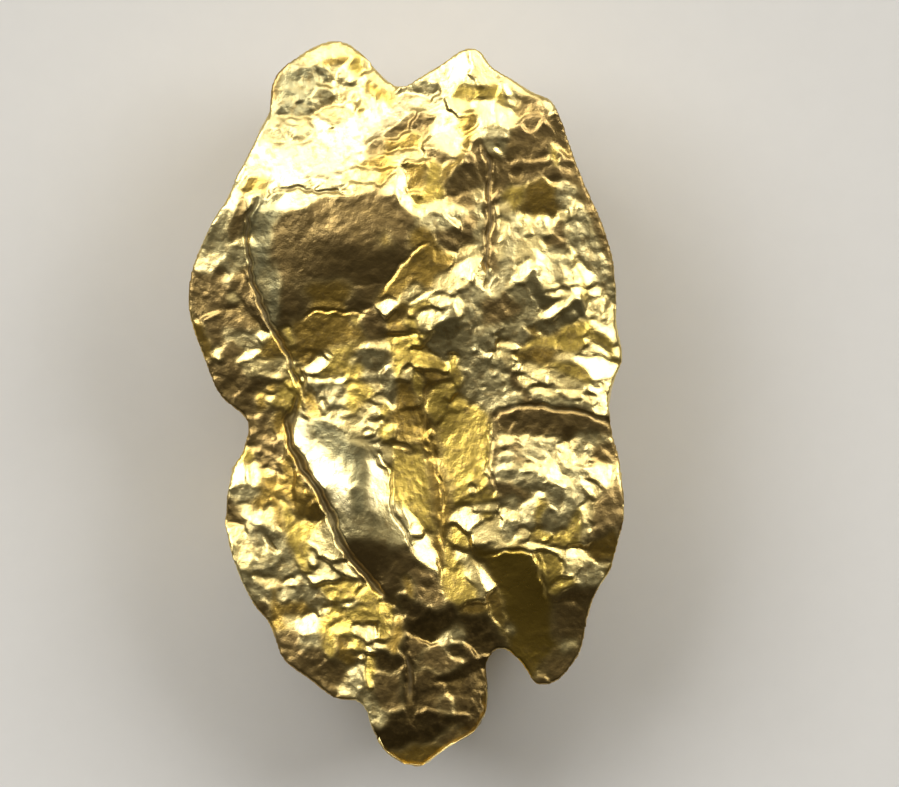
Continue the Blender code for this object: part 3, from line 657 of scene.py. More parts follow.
DOME = facets(
    (-1.55, 2.78, 0.17, 0.07, 74, 22, 335, 0.03, GOLD, True),
    (-1.96, 2.02, 0.36, 0.07, 2, 13, 290, 0.05, SAGE, True),
    (-1.86, 2.55, 0.2, 0.06, 18, 9, 200, 0.05, SAGE, True),
    (-1.96, 1.64, 0.13, 0.04, 2, 17, 300, 0.05, PALE, True),
    (-2.11, 2.55, 0.28, 0.04, 15, 15, 195, 0.08, SAGE, True),
    (-1.8, 2.25, 0.25, 0.05, 12, 15, 190, 0.06, BROWN, True),
    (-1.64, 2.4, 0.26, 0.05, 18, 4, 320, 0.06, BROWN, True),
    (-1.81, 1.48, 0.24, 0.04, 5, 18, 312, 0.06, SAGE, True),
    (-1.68, 1.85, 0.26, 0.06, 5, 4, 230, 0.08, BROWN, True),
    (-1.5, 2.1, 0.22, 0.11, 10, 7, 200, 0.1, BROWN, True),
    (-1.15, 2.57, 0.15, 0.11, 0, 5, 340, 0.12, BROWN, True),
    (-1.05, 2.4, 0.11, 0.03, 118, 12, 350, 0.05, BROWN),
    (-1.38, 2.42, 0.15, 0.08, 10, 10, 190, 0.1, BROWN, True),
    (-0.72, 2.5, 0.24, 0.17, 0, 3, 330, 0.15, BROWN, True),
    (-0.38, 2.48, 0.28, 0.14, 0, 3, 200, 0.15, BROWN, True),
    (-0.1, 2.42, 0.2, 0.12, 170, 2, 340, 0.2, BROWN, True),
    (-0.3, 2.25, 0.12, 0.08, 150, 9, 320, 0.12, AMBER, True),
    (-0.82, 1.95, 0.32, 0.18, 105, 12, 180, 0.06, BROWN, True),
    (-0.38, 1.98, 0.17, 0.17, 0, 9, 180, 0.1, BROWN, True),
    (-1.28, 1.88, 0.22, 0.1, 30, 4, 240, 0.12, BROWN, True),
    (-1.1, 1.52, 0.28, 0.11, 92, 4, 250, 0.1, AMBER, True),
    (-0.6, 1.53, 0.14, 0.08, 80, 4, 240, 0.12, BROWN),
    (-0.63, 1.36, 0.17, 0.06, 88, 16, 180, 0.06, BROWN),
    (-1.55, 1.42, 0.15, 0.16, 0, 7, 210, 0.12, BROWN, True),
    (-1.1, 1.34, 0.25, 0.04, 90, 6, 330, 0.08, AMBER),
)

DOME_STEP = facets(
    (-0.96, 1.24, 0.3, 0.03, 93, 3, 200, 0.05, AMBER),
    (-0.71, 1.12, 0.07, 0.05, 0, 8, 0, 0.1, YELLOW),
    (-1.61, 0.95, 0.15, 0.05, 158, 14, 325, 0.08, YELLOW),
    (-1.1, 0.97, 0.33, 0.18, 92, 5, 300, 0.1, AMBER, True),
    (-1.4, 0.72, 0.15, 0.07, 110, 5, 280, 0.2, AMBER),
    (-0.44, 1.12, 0.15, 0.11, 0, 3, 200, 0.2, BROWN),
    (-0.3, 1.3, 0.11, 0.1, 0, 21, 340, 0.05),
    (-0.13, 1.08, 0.1, 0.13, 0, 13, 325, 0.15, AMBER),
    (-0.84, 0.77, 0.2, 0.05, 62, 7, 340, 0.15, YELLOW),
    (-1.7, 1.2, 0.15, 0.06, 150, 7, 200, 0.1, BROWN),
)

RIDGE = facets(
    (-0.13, 1.72, 0.42, 0.04, 42, 9, 325, 0.06, AMBER),
    (0.22, 2.1, 0.17, 0.04, 58, 8, 335, 0.08, AMBER),
    (0.22, 1.87, 0.25, 0.15, 65, 8, 315, 0.1, AMBER),
    (0.48, 2.05, 0.13, 0.1, 60, 4, 330, 0.2, AMBER),
    (0.0, 1.66, 0.22, 0.06, 55, 10, 335, 0.15, AMBER),
    (0.8, 2.07, 0.09, 0.06, 80, 17, 345, 0.1),
    (0.97, 2.03, 0.05, 0.07, 0, 15, 10, 0.1),
    (0.55, 2.2, 0.14, 0.06, 100, 7, 200, 0.15, BROWN),
    (0.82, 1.8, 0.14, 0.1, 60, 21, 335, 0.06),
    (1.0, 1.72, 0.13, 0.05, 150, 15, 50, 0.08),
    (0.62, 1.62, 0.19, 0.11, 70, 18, 350, 0.1),
    (0.48, 1.45, 0.07, 0.17, 0, 21, 350, 0.08),
    (0.23, 1.5, 0.14, 0.05, 62, 21, 335, 0.06),
    (0.73, 1.38, 0.15, 0.05, 5, 20, 15, 0.08),
    (0.08, 1.55, 0.12, 0.05, 60, 12, 340, 0.2),
    (0.3, 1.17, 0.12, 0.12, 30, 20, 345, 0.1),
    (0.18, 1.32, 0.15, 0.06, 60, 13, 330, 0.15, YELLOW),
    (0.0, 1.28, 0.1, 0.06, 10, 4, 200, 0.1, AMBER),
    (0.05, 1.13, 0.07, 0.1, 20, 9, 330, 0.15, YELLOW),
    (0.58, 1.22, 0.1, 0.07, 50, 13, 335, 0.2, PALE),
    (0.95, 1.48, 0.1, 0.13, 0, 3, 60, 0.35, PALE),
    (0.6, 1.04, 0.14, 0.07, 70, 9, 190, 0.15, PALE),
    (0.88, 1.18, 0.13, 0.1, 60, 3, 290, 0.35, PALE),
    (0.75, 0.92, 0.1, 0.1, 0, 5, 260, 0.25, PALE),
    (0.46, 0.82, 0.17, 0.1, 135, 6, 260, 0.15, PALE),
    (0.28, 0.92, 0.1, 0.06, 60, 13, 320, 0.2, YELLOW),
)

MIDDLE = facets(
    (-1.16, 0.59, 0.09, 0.05, 70, 21, 340, 0.05),
    (-1.03, 0.65, 0.05, 0.05, 0, 20, 350, 0.05),
    (-1.25, 0.35, 0.1, 0.04, 88, 18, 350, 0.15),
    (-1.07, 0.36, 0.1, 0.03, 90, 27, 350, 0.15),
    (-0.89, 0.34, 0.07, 0.05, 90, 20, 350, 0.08),
    (-0.93, 0.55, 0.16, 0.1, 60, 5, 350, 0.35, YELLOW),
    (-0.74, 0.6, 0.06, 0.06, 0, 14, 340, 0.2),
    (-0.7, 0.45, 0.12, 0.1, 0, 9, 335, 0.35, YELLOW),
    (-0.35, 0.8, 0.13, 0.05, 105, 17, 350, 0.08),
    (-0.4, 0.6, 0.11, 0.15, 0, 7, 190, 0.2, PALE),
    (-0.5, 0.4, 0.12, 0.08, 90, 4, 300, 0.3, PALE),
    (-1.0, 0.14, 0.2, 0.12, 90, 8, 345, 0.45, PALE),
    (-1.22, 0.2, 0.09, 0.08, 0, 7, 310, 0.3, PALE),
    (-1.16, 0.01, 0.08, 0.03, 10, 20, 340, 0.04),
    (-0.7, 0.1, 0.17, 0.16, 0, 13, 335, 0.4, YELLOW),
    (-0.42, 0.23, 0.07, 0.06, 0, 21, 20, 0.06),
    (-0.36, 0.05, 0.11, 0.05, 85, 22, 10, 0.12),
    (-0.52, -0.09, 0.12, 0.08, 90, 20, 338, 0.4),
    (-0.45, -0.25, 0.08, 0.06, 60, 30, 5, 0.06),
    (-0.54, -0.38, 0.08, 0.05, 60, 21, 345, 0.08),
    (-0.78, -0.32, 0.22, 0.09, 112, 15, 345, 0.15),
    (-0.84, -0.13, 0.05, 0.09, 0, 18, 325, 0.15),
    (-1.02, -0.22, 0.1, 0.07, 60, 12, 340, 0.25),
    (-1.3, 0.02, 0.13, 0.07, 0, 3, 300, 0.25, AMBER),
    (-1.28, -0.18, 0.13, 0.04, 95, 4, 260, 0.12, AMBER),
    (-0.25, 0.35, 0.17, 0.07, 0, 4, 220, 0.3, PALE),
    (-0.15, 0.12, 0.12, 0.03, 175, 13, 190, 0.05, PALE),
    (0.02, 0.42, 0.1, 0.07, 40, 20, 345, 0.12),
    (-0.28, -0.05, 0.08, 0.07, 0, 4, 290, 0.3, YELLOW),
)

VALLEY = facets(
    (-0.12, 0.72, 0.28, 0.1, 175, 20, 328, 0.15, YELLOW),
    (0.03, 0.7, 0.18, 0.03, 0, 22, 330, 0.08, YELLOW),
    (0.12, 0.83, 0.09, 0.07, 0, 24, 325, 0.2, YELLOW),
    (0.28, 0.62, 0.2, 0.09, 115, 24, 330, 0.15, YELLOW),
    (0.66, 0.5, 0.16, 0.06, 165, 22, 330, 0.12, YELLOW),
    (0.4, 0.4, 0.12, 0.07, 110, 15, 325, 0.2, AMBER),
    (0.56, 0.17, 0.17, 0.07, 150, 18, 330, 0.15, YELLOW),
    (0.4, 0.0, 0.15, 0.08, 0, 18, 325, 0.15, YELLOW),
    (0.7, 0.0, 0.13, 0.09, 90, 15, 335, 0.25, YELLOW),
    (-0.02, 0.1, 0.18, 0.11, 0, 6, 330, 0.2, AMBER),
    (0.15, 0.22, 0.16, 0.07, 0, 8, 20, 0.2, YELLOW),
    (-0.22, -0.38, 0.08, 0.1, 0, 13, 325, 0.2, YELLOW),
    (0.02, -0.28, 0.18, 0.17, 0, 9, 60, 0.15, AMBER),
    (0.0, -0.6, 0.15, 0.04, 122, 22, 180, 0.1, AMBER),
    (0.12, -0.7, 0.06, 0.05, 0, 12, 20, 0.1, YELLOW),
    (-0.02, -0.95, 0.3, 0.14, 170, 6, 20, 0.12, YELLOW, True),
    (0.18, -1.05, 0.35, 0.08, 170, 5, 70, 0.12, YELLOW, True),
    (0.15, -1.42, 0.2, 0.09, 165, 4, 20, 0.15, YELLOW, True),
    (0.25, -0.1, 0.42, 0.04, 178, 20, 180, 0.12, AMBER),
    (0.33, -0.62, 0.22, 0.05, 165, 15, 170, 0.12, AMBER),
    (0.45, -1.15, 0.42, 0.07, 170, 4, 325, 0.12, AMBER, True),
    (0.48, -1.78, 0.25, 0.08, 2, 5, 200, 0.1, AMBER),
    (0.88, -0.45, 0.38, 0.17, 3, 17, 332, 0.12, YELLOW, True),
    (0.58, -0.42, 0.34, 0.1, 175, 15, 328, 0.12, YELLOW, True),
    (0.75, -0.98, 0.22, 0.13, 0, 14, 332, 0.15, YELLOW, True),
    (0.98, -1.0, 0.15, 0.08, 0, 22, 345, 0.15, YELLOW, True),
    (1.12, -0.9, 0.08, 0.05, 60, 12, 345, 0.12),
    (0.9, -1.15, 0.06, 0.05, 0, 24, 15, 0.1),
    (1.02, -1.27, 0.2, 0.05, 78, 12, 340, 0.12, YELLOW),
    (1.06, -1.41, 0.15, 0.04, 75, 17, 350, 0.08),
    (0.88, -1.58, 0.11, 0.15, 0, 21, 340, 0.08),
    (1.08, -1.53, 0.06, 0.05, 0, 15, 325, 0.1, YELLOW),
    (1.1, -1.75, 0.15, 0.13, 0, 21, 10, 0.06),
    (0.73, -1.85, 0.11, 0.1, 0, 14, 340, 0.1, YELLOW),
    (0.13, -1.7, 0.16, 0.05, 155, 22, 30, 0.05),
    (0.25, -2.02, 0.2, 0.09, 165, 21, 20, 0.06),
    (0.6, -2.1, 0.22, 0.06, 160, 14, 325, 0.1, YELLOW),
    (0.82, -2.2, 0.33, 0.05, 152, 27, 335, 0.06),
    (0.72, -2.48, 0.26, 0.13, 158, 15, 325, 0.1, YELLOW),
    (0.58, -2.62, 0.2, 0.04, 152, 13, 330, 0.08, YELLOW),
    (1.08, -2.4, 0.23, 0.07, 155, 22, 20, 0.05),
    (0.87, -2.82, 0.13, 0.06, 70, 7, 325, 0.12, AMBER),
    (0.24, -2.45, 0.2, 0.13, 150, 3, 320, 0.3, BROWN),
    (0.03, -2.48, 0.13, 0.08, 150, 8, 330, 0.2, AMBER),
    (0.43, -2.7, 0.15, 0.07, 150, 3, 280, 0.25, BROWN),
)

LEAF = facets(
    (-1.36, -0.42, 0.24, 0.07, 160, 26, 325, 0.03, BRIGHT, True),
    (-1.11, -0.8, 0.28, 0.09, 150, 27, 325, 0.03, BRIGHT, True),
    (-0.87, -1.2, 0.26, 0.09, 160, 27, 325, 0.03, BRIGHT, True),
    (-0.42, -1.1, 0.36, 0.11, 176, 26, 20, 0.03, BRIGHT, True),
    (-1.05, -0.46, 0.27, 0.13, 128, 2, 200, 0.06, SAGE, True),
    (-0.76, -0.72, 0.22, 0.15, 145, 2, 200, 0.06, SAGE, True),
    (-0.62, -0.55, 0.2, 0.05, 112, 15, 350, 0.06, GOLD, True),
    (-0.75, -1.1, 0.06, 0.04, 0, 24, 325, 0.03),
    (-0.68, -1.22, 0.24, 0.11, 170, 3, 190, 0.05, SAGE, True),
    (-0.85, -1.72, 0.15, 0.12, 150, 10, 340, 0.1, PALE, True),
    (-0.55, -1.62, 0.1, 0.18, 0, 9, 340, 0.08, PALE, True),
    (-0.22, -1.72, 0.22, 0.13, 165, 8, 340, 0.12, PALE, True),
    (-0.65, -2.08, 0.34, 0.11, 138, 19, 195, 0.05, BROWN, True),
    (-0.35, -1.98, 0.15, 0.08, 140, 6, 200, 0.08, BROWN, True),
    (-0.1, -2.08, 0.2, 0.12, 160, 5, 210, 0.15, BROWN),
    (-0.18, -2.35, 0.18, 0.1, 140, 8, 200, 0.15, BROWN),
    (-0.28, -2.58, 0.14, 0.05, 135, 11, 190, 0.15, BROWN),
    (-0.08, -2.82, 0.1, 0.07, 60, 6, 200, 0.2, BROWN),
    (-0.3, -0.72, 0.12, 0.09, 0, 13, 340, 0.1),
)

FRONT: tuple[tuple[Facet, ...], ...] = (
    LEFT_CROWN, WHITE_SLOPE, BROW, RIGHT_CROWN, CREASE, RIGHT_SHOULDER, RIGHT_CHEEK, RIGHT_BAND,
    WHITE_BLOCK, RIGHT_FOLD, RIGHT_HAUNCH, HOLLOW, TOE, GILDED, LEFT_HAUNCH, WAIST, LEFT_FLANK, DOME,
    DOME_STEP, RIDGE, MIDDLE, VALLEY, LEAF,
)

CRACKS: tuple[Crack, ...] = (
    Crack("left crack", 0.05, 0.042, ((-2.0, 2.9), (-2.14, 2.6), (-2.2, 2.2), (-2.14, 1.85),
                                      (-2.03, 1.45), (-1.87, 1.1), (-1.68, 0.8), (-1.57, 0.48),
                                      (-1.46, 0.2))),
    Crack("leaf shadow", 0.07, 0.07, ((-1.5, 0.18), (-1.5, 0.0), (-1.61, -0.18), (-1.6, -0.45),
                                      (-1.49, -0.75), (-1.25, -1.12), (-1.06, -1.5), (-0.9, -1.9),
                                      (-0.6, -2.3), (-0.25, -2.68))),
    Crack("dome rim", 0.025, 0.028, ((-2.0, 2.84), (-1.6, 2.95), (-1.2, 2.92), (-0.7, 2.87))),
    Crack("dome foot", 0.02, 0.022, ((-1.5, 1.12), (-1.25, 1.29), (-0.65, 1.27), (-0.42, 1.18))),
    Crack("ridge foot", 0.02, 0.022, ((-0.38, 1.45), (-0.18, 1.77), (0.08, 2.08), (0.36, 2.24))),
    Crack("crease", 0.035, 0.045, ((1.0, 3.65), (1.15, 3.2), (1.14, 2.8), (1.12, 2.3), (1.1, 1.9),
                                   (1.1, 1.5))),
    Crack("right fold", 0.03, 0.045, ((1.17, -0.25), (1.27, -0.08), (1.55, -0.03), (2.0, -0.05),
                                      (2.4, -0.1), (2.62, -0.2), (2.86, -0.38))),
    Crack("valley floor", 0.02, 0.028, ((0.35, 0.4), (0.27, 0.1), (0.26, -0.4), (0.4, -0.7),
                                        (0.5, -1.2), (0.46, -1.7), (0.52, -2.02))),
    Crack("valley lip", 0.025, 0.03, ((1.15, -0.15), (1.14, -0.85), (1.2, -1.05), (1.21, -1.35))),
    Crack("valley nick", 0.05, 0.036, ((-0.22, -0.53), (0.0, -0.58), (0.11, -0.68))),
    Crack("leaf seam", 0.025, 0.025, ((-0.45, -0.6), (-0.22, -0.9), (-0.2, -1.4), (0.0, -1.75),
                                      (0.08, -2.1))),
    Crack("hollow rim", 0.025, 0.03, ((1.03, -2.1), (1.3, -2.02), (1.77, -2.03), (1.82, -2.35),
                                      (1.97, -2.75))),
    Crack("toe cleft", 0.035, 0.06, ((0.0, -3.3), (0.06, -3.7), (0.03, -4.15))),
    Crack("haunch slit", 0.035, 0.045, ((-2.0, -1.7), (-1.86, -1.94), (-1.74, -2.12))),
)


def smooth_step(value: np.ndarray, low: float, high: float) -> np.ndarray:
    """Ease from 0 to 1 as a value goes from low to high.

    Args:
        value: The values to ease.
        low: Where the result leaves 0.
        high: Where the result reaches 1.

    Returns:
        The eased values.
    """
    part = np.clip((value - low) / (high - low), 0.0, 1.0)
    return part * part * (3.0 - 2.0 * part)


@dataclass
class Plan:
    """An even grid of places over the nugget, seen from above.

    Attributes:
        half_width: Half its extent along x, in millimetres.
        half_length: Half its extent along y, in millimetres.
        step: Distance between its places, in millimetres.
        x: How far right each place is, in millimetres.
        y: How far towards the crown each place is, in millimetres.
    """

    half_width: float = 3.2
    half_length: float = 5.2
    step: float = 0.02
    x: np.ndarray = field(init=False)
    y: np.ndarray = field(init=False)

    def __post_init__(self) -> None:
        """Lay out the places."""
        across = np.arange(-self.half_width, self.half_width, self.step)
        along = np.arange(-self.half_length, self.half_length, self.step)
        self.x, self.y = np.meshgrid(across, along)

    def blurred(self, values: np.ndarray, reach: float) -> np.ndarray:
        """Spread values over a distance.

        Args:
            values: One value at each place.
            reach: The distance, in millimetres.

        Returns:
            The spread values.
        """
        rows, columns = values.shape
        margin = int(4 * reach / self.step) + 2
        wide = np.pad(values, margin, mode="edge")
        waves_y = np.fft.fftfreq(wide.shape[0], self.step)[:, None]
        waves_x = np.fft.rfftfreq(wide.shape[1], self.step)[None, :]
        fall = np.exp(-2.0 * (math.pi * reach) ** 2 * (waves_x ** 2 + waves_y ** 2))
        wide = np.fft.irfft2(np.fft.rfft2(wide) * fall, s=wide.shape)
        return wide[margin:margin + rows, margin:margin + columns]

    def ripples(self, size: float, seed: int) -> np.ndarray:
        """Make smooth random values of about one.

        Args:
            size: Width of their lumps, in millimetres.
            seed: Which values they are.

        Returns:
            One value at each place.
        """
        noise = np.random.default_rng(seed).standard_normal(self.x.shape)
        lumps = self.blurred(noise, size / 2.5)
        return lumps / lumps.std()

    def sampled(self, values: np.ndarray, points: np.ndarray) -> np.ndarray:
        """Read values over or under points that lie between the places.

        Args:
            values: One value at each place.
            points: A row for each point, in millimetres.

        Returns:
            The value at each point.
        """
        rows, columns = values.shape
        across = np.clip((points[:, 0] + self.half_width) / self.step, 0.0, columns - 1.001)
        along = np.clip((points[:, 1] + self.half_length) / self.step, 0.0, rows - 1.001)
        column, row = across.astype(int), along.astype(int)
        right, up = across - column, along - row
        low = values[row, column] * (1.0 - right) + values[row, column + 1] * right
        high = values[row + 1, column] * (1.0 - right) + values[row + 1, column + 1] * right
        return low * (1.0 - up) + high * up


@dataclass
class CrumpledRelief:
    """The relief of the front, worked out from its facets, its cracks and how crumpled it is.

    Attributes:
        plan: The places where the relief is worked out.
        ground: Height of the plain body under the relief, in millimetres, at each place.
        hold: How strongly the relief keeps to the body's height, in square millimetres inverse.
        settle: How far the whole front is tipped back towards the toe so that it lies level, in degrees.
        border: Width of the step between facets that don't meet, in millimetres.
        waver: How far the borders wander from the straight, in millimetres.
        waver_size: Distance over which they wander, in millimetres.
        tone_blend: Over what distance one shade of gold passes into the next, in millimetres.
        rough_blend: Over what distance crumpled skin passes into smooth skin, in millimetres.
        dent_size: Width of the small dents, in millimetres.
        dent_stretch: How many times longer they are than wide.
        dent_lean: Slope of the small dents where the skin is fully crumpled.
        crack_waver: How far the cracks wander from their route, in millimetres.
        crack_taper: How long a crack's ends are, in millimetres.
        crack_full: Depth at which a crack counts as fully sunk, and its painted shade is full, in
            millimetres.
        fit_steps: The most steps that the fit of the relief takes.
        fit_limit: Share of the first error at which the fit is good enough.
        rises: The relief's height at each place.
        rough: How crumpled the skin is at each place.
        tones: How much of each shade of gold there is at each place.
        cracked: How far each place has sunk into a crack, from 0 to 1, which sets the crack's painted shade.
    """

    plan: Plan
    ground: np.ndarray
    hold: float = 0.5
    settle: float = 7.0
    border: float = 0.022
    waver: float = 0.022
    waver_size: float = 0.16
    tone_blend: float = 0.03
    rough_blend: float = 0.05
    dent_size: float = 0.07
    dent_stretch: float = 1.4
    dent_lean: float = 0.40
    crack_waver: float = 0.015
    crack_taper: float = 0.25
    crack_full: float = 0.06
    fit_steps: int = 900
    fit_limit: float = 1e-9
    rises: np.ndarray = field(init=False)
    rough: np.ndarray = field(init=False)
    tones: dict[Tone, np.ndarray] = field(init=False)
    cracked: np.ndarray = field(init=False)

    def __post_init__(self) -> None:
        """Work out the relief."""
        slope_x, slope_y, trust = self.facet_slopes()
        dent_x, dent_y, dent_trust = self.dents()
        slope_x = slope_x + self.rough * self.dent_lean * dent_x
        slope_y = slope_y + self.rough * self.dent_lean * dent_y
        trust = trust * dent_trust
        self.rises = self.fitted(slope_x, slope_y, trust)
        self.cracked = np.zeros(self.plan.x.shape)
        x = self.plan.x + self.crack_waver * self.plan.ripples(0.12, SEED + 5)
        y = self.plan.y + self.crack_waver * self.plan.ripples(0.12, SEED + 6)
        for crack in CRACKS:
            share = self.crack_share(crack, x, y)
            self.rises = self.rises - crack.depth * share
            self.cracked = np.maximum(self.cracked, share * min(1.0, crack.depth / self.crack_full))

    def facet_distance(self, facet: Facet, x: np.ndarray, y: np.ndarray) -> np.ndarray:
        """Measure how far each place is from a facet's middle.

        Args:
            facet: The facet.
            x: How far right each place is, in millimetres.
            y: How far towards the crown each place is, in millimetres.

        Returns:
            The distance at each place, in the facet's own half sizes.
        """
        bearing = math.radians(facet.turn)
        along = (x - facet.x) * math.sin(bearing) + (y - facet.y) * math.cos(bearing)
        across = (x - facet.x) * math.cos(bearing) - (y - facet.y) * math.sin(bearing)
        return np.hypot(along / facet.long, across / facet.wide)

    def facet_slopes(self) -> tuple[np.ndarray, np.ndarray, np.ndarray]:
        """Share the front out among the facets.

        Returns:
            The slope along x, the slope along y, and how much each place insists on its slope, which is
            little on the borders between crisp facets.
        """
        x = self.plan.x + self.waver * self.plan.ripples(self.waver_size, SEED)
        y = self.plan.y + self.waver * self.plan.ripples(self.waver_size, SEED + 1)
        nearest = np.full(x.shape, 1e9)
        second = np.full(x.shape, 1e9)
        reach = np.zeros(x.shape)
        crisp = np.zeros(x.shape)
        for facet in chain(*FRONT):
            away = self.facet_distance(facet, x, y)
            closer = away < nearest
            second = np.where(closer, nearest, np.minimum(second, away))
            nearest = np.where(closer, away, nearest)
            reach = np.where(closer, math.sqrt(facet.long * facet.wide), reach)
            crisp = np.where(closer, 0.0 if facet.soft else 1.0, crisp)
        shares = np.zeros(x.shape)
        slope_x = np.zeros(x.shape)
        slope_y = np.zeros(x.shape)
        rough = np.zeros(x.shape)
        tones = {tone: np.zeros(x.shape) for tone in Tone}
        for facet in chain(*FRONT):
            away = self.facet_distance(facet, x, y)
            share = np.exp(-np.clip((away - nearest) / facet.softness(), 0.0, 60.0))
            rise_x, rise_y = facet.slope()
            shares += share
            slope_x += share * rise_x
            slope_y += share * rise_y
            rough += share * facet.rough
            tones[facet.tone] += share
        self.tones = {tone: self.plan.blurred(weight / shares, self.tone_blend)
                      for tone, weight in tones.items()}
        self.rough = self.plan.blurred(rough / shares, self.rough_blend)
        edge = (second - nearest) * reach * 0.5
        trust = 1.0 - crisp * 0.95 * (1.0 - smooth_step(edge, 0.0, self.border))
        return slope_x / shares, slope_y / shares + math.tan(math.radians(self.settle)), trust

    def dents(self) -> tuple[np.ndarray, np.ndarray, np.ndarray]:
        """Scatter small flat dents over the skin, each with its own lean.

        Returns:
            The slope along x, the slope along y, and how much each place insists on its slope.
        """
        x = self.plan.x + 0.02 * self.plan.ripples(0.08, SEED + 2)
        y = self.plan.y + 0.02 * self.plan.ripples(0.08, SEED + 3)
        across = (x + self.plan.half_width) / self.dent_size + 2.0
        along = (y + self.plan.half_length) / (self.dent_size * self.dent_stretch) + 2.0
        column, row = across.astype(int), along.astype(int)
        rows, columns = row.max() + 3, column.max() + 3
        chooser = np.random.default_rng(SEED + 4)
        middle_x = chooser.uniform(0.0, 1.0, (rows, columns))
        middle_y = chooser.uniform(0.0, 1.0, (rows, columns))
        lean_x = chooser.standard_normal((rows, columns))
        lean_y = chooser.standard_normal((rows, columns))
        nearest = np.full(x.shape, 1e9)
        second = np.full(x.shape, 1e9)
        slope_x = np.zeros(x.shape)
        slope_y = np.zeros(x.shape)
        for down in (-1, 0, 1):
            for right in (-1, 0, 1):
                r, c = row + down, column + right
                away = np.hypot(c + middle_x[r, c] - across, r + middle_y[r, c] - along)
                closer = away < nearest
                second = np.where(closer, nearest, np.minimum(second, away))
                nearest = np.where(closer, away, nearest)
                slope_x = np.where(closer, lean_x[r, c], slope_x)
                slope_y = np.where(closer, lean_y[r, c], slope_y)
        edges = 1.0 - smooth_step(second - nearest, 0.0, 0.25)
        trust = 1.0 - 0.6 * edges * np.clip(self.rough * 3.0, 0.0, 1.0)
        return slope_x, slope_y, trust

    def fitted(self, slope_x: np.ndarray, slope_y: np.ndarray, trust: np.ndarray) -> np.ndarray:
        """Find the height that best follows the wanted slopes and stays near the plain body.

        It solves the normal equations of that least-squares fit by conjugate gradients.

        Args:
            slope_x: Wanted slope along x.
            slope_y: Wanted slope along y.
            trust: How much each place insists on its slope.

        Returns:
            The height at each place, in millimetres.
        """
        step = self.plan.step
        trust_x = np.minimum(trust[:, 1:], trust[:, :-1]) / step ** 2
        trust_y = np.minimum(trust[1:], trust[:-1]) / step ** 2
        rise_x = 0.5 * (slope_x[:, 1:] + slope_x[:, :-1]) * step
        rise_y = 0.5 * (slope_y[1:] + slope_y[:-1]) * step

        def gathered(across: np.ndarray, along: np.ndarray) -> np.ndarray:
            """Add up at each place what its steps across and along bring to it."""
            total = np.zeros(self.plan.x.shape)
            total[:, 1:] += across
            total[:, :-1] -= across
            total[1:] += along
            total[:-1] -= along
            return total

        def weighed(height: np.ndarray) -> np.ndarray:
            """Put a height through the left side of the equations."""
            across = trust_x * np.diff(height, axis=1)
            along = trust_y * np.diff(height, axis=0)
            return gathered(across, along) + self.hold * height

        wanted = gathered(trust_x * rise_x, trust_y * rise_y) + self.hold * self.ground
        height = self.ground.copy()
        rest = wanted - weighed(height)
        heading = rest.copy()
        size = float((rest * rest).sum())
        target = size * self.fit_limit
        for _ in range(self.fit_steps):
            pull = weighed(heading)
            stride = size / float((heading * pull).sum())
            height += stride * heading
            rest -= stride * pull
            new_size = float((rest * rest).sum())
            if new_size < target:
                break
            heading = rest + (new_size / size) * heading
            size = new_size
        return height

    def crack_share(self, crack: Crack, x: np.ndarray, y: np.ndarray) -> np.ndarray:
        """Work out how far a crack has sunk each place.

        Args:
            crack: The crack.
            x: How far right each place is, in millimetres.
            y: How far towards the crown each place is, in millimetres.

        Returns:
            From 0, away from it and at its ends, to 1 along its middle.
        """
        away = np.full(x.shape, 1e9)
        for (from_x, from_y), (to_x, to_y) in zip(crack.route, crack.route[1:]):
            run_x, run_y = to_x - from_x, to_y - from_y
            part = ((x - from_x) * run_x + (y - from_y) * run_y) / (run_x ** 2 + run_y ** 2)
            part = np.clip(part, 0.0, 1.0)
            away = np.minimum(away, np.hypot(x - from_x - part * run_x, y - from_y - part * run_y))
        ends = [np.hypot(x - end_x, y - end_y) for end_x, end_y in (crack.route[0], crack.route[-1])]
        taper = smooth_step(np.minimum(ends[0], ends[1]), 0.0, self.crack_taper)
        return taper * np.clip(1.0 - away / crack.width, 0.0, 1.0) ** 1.2


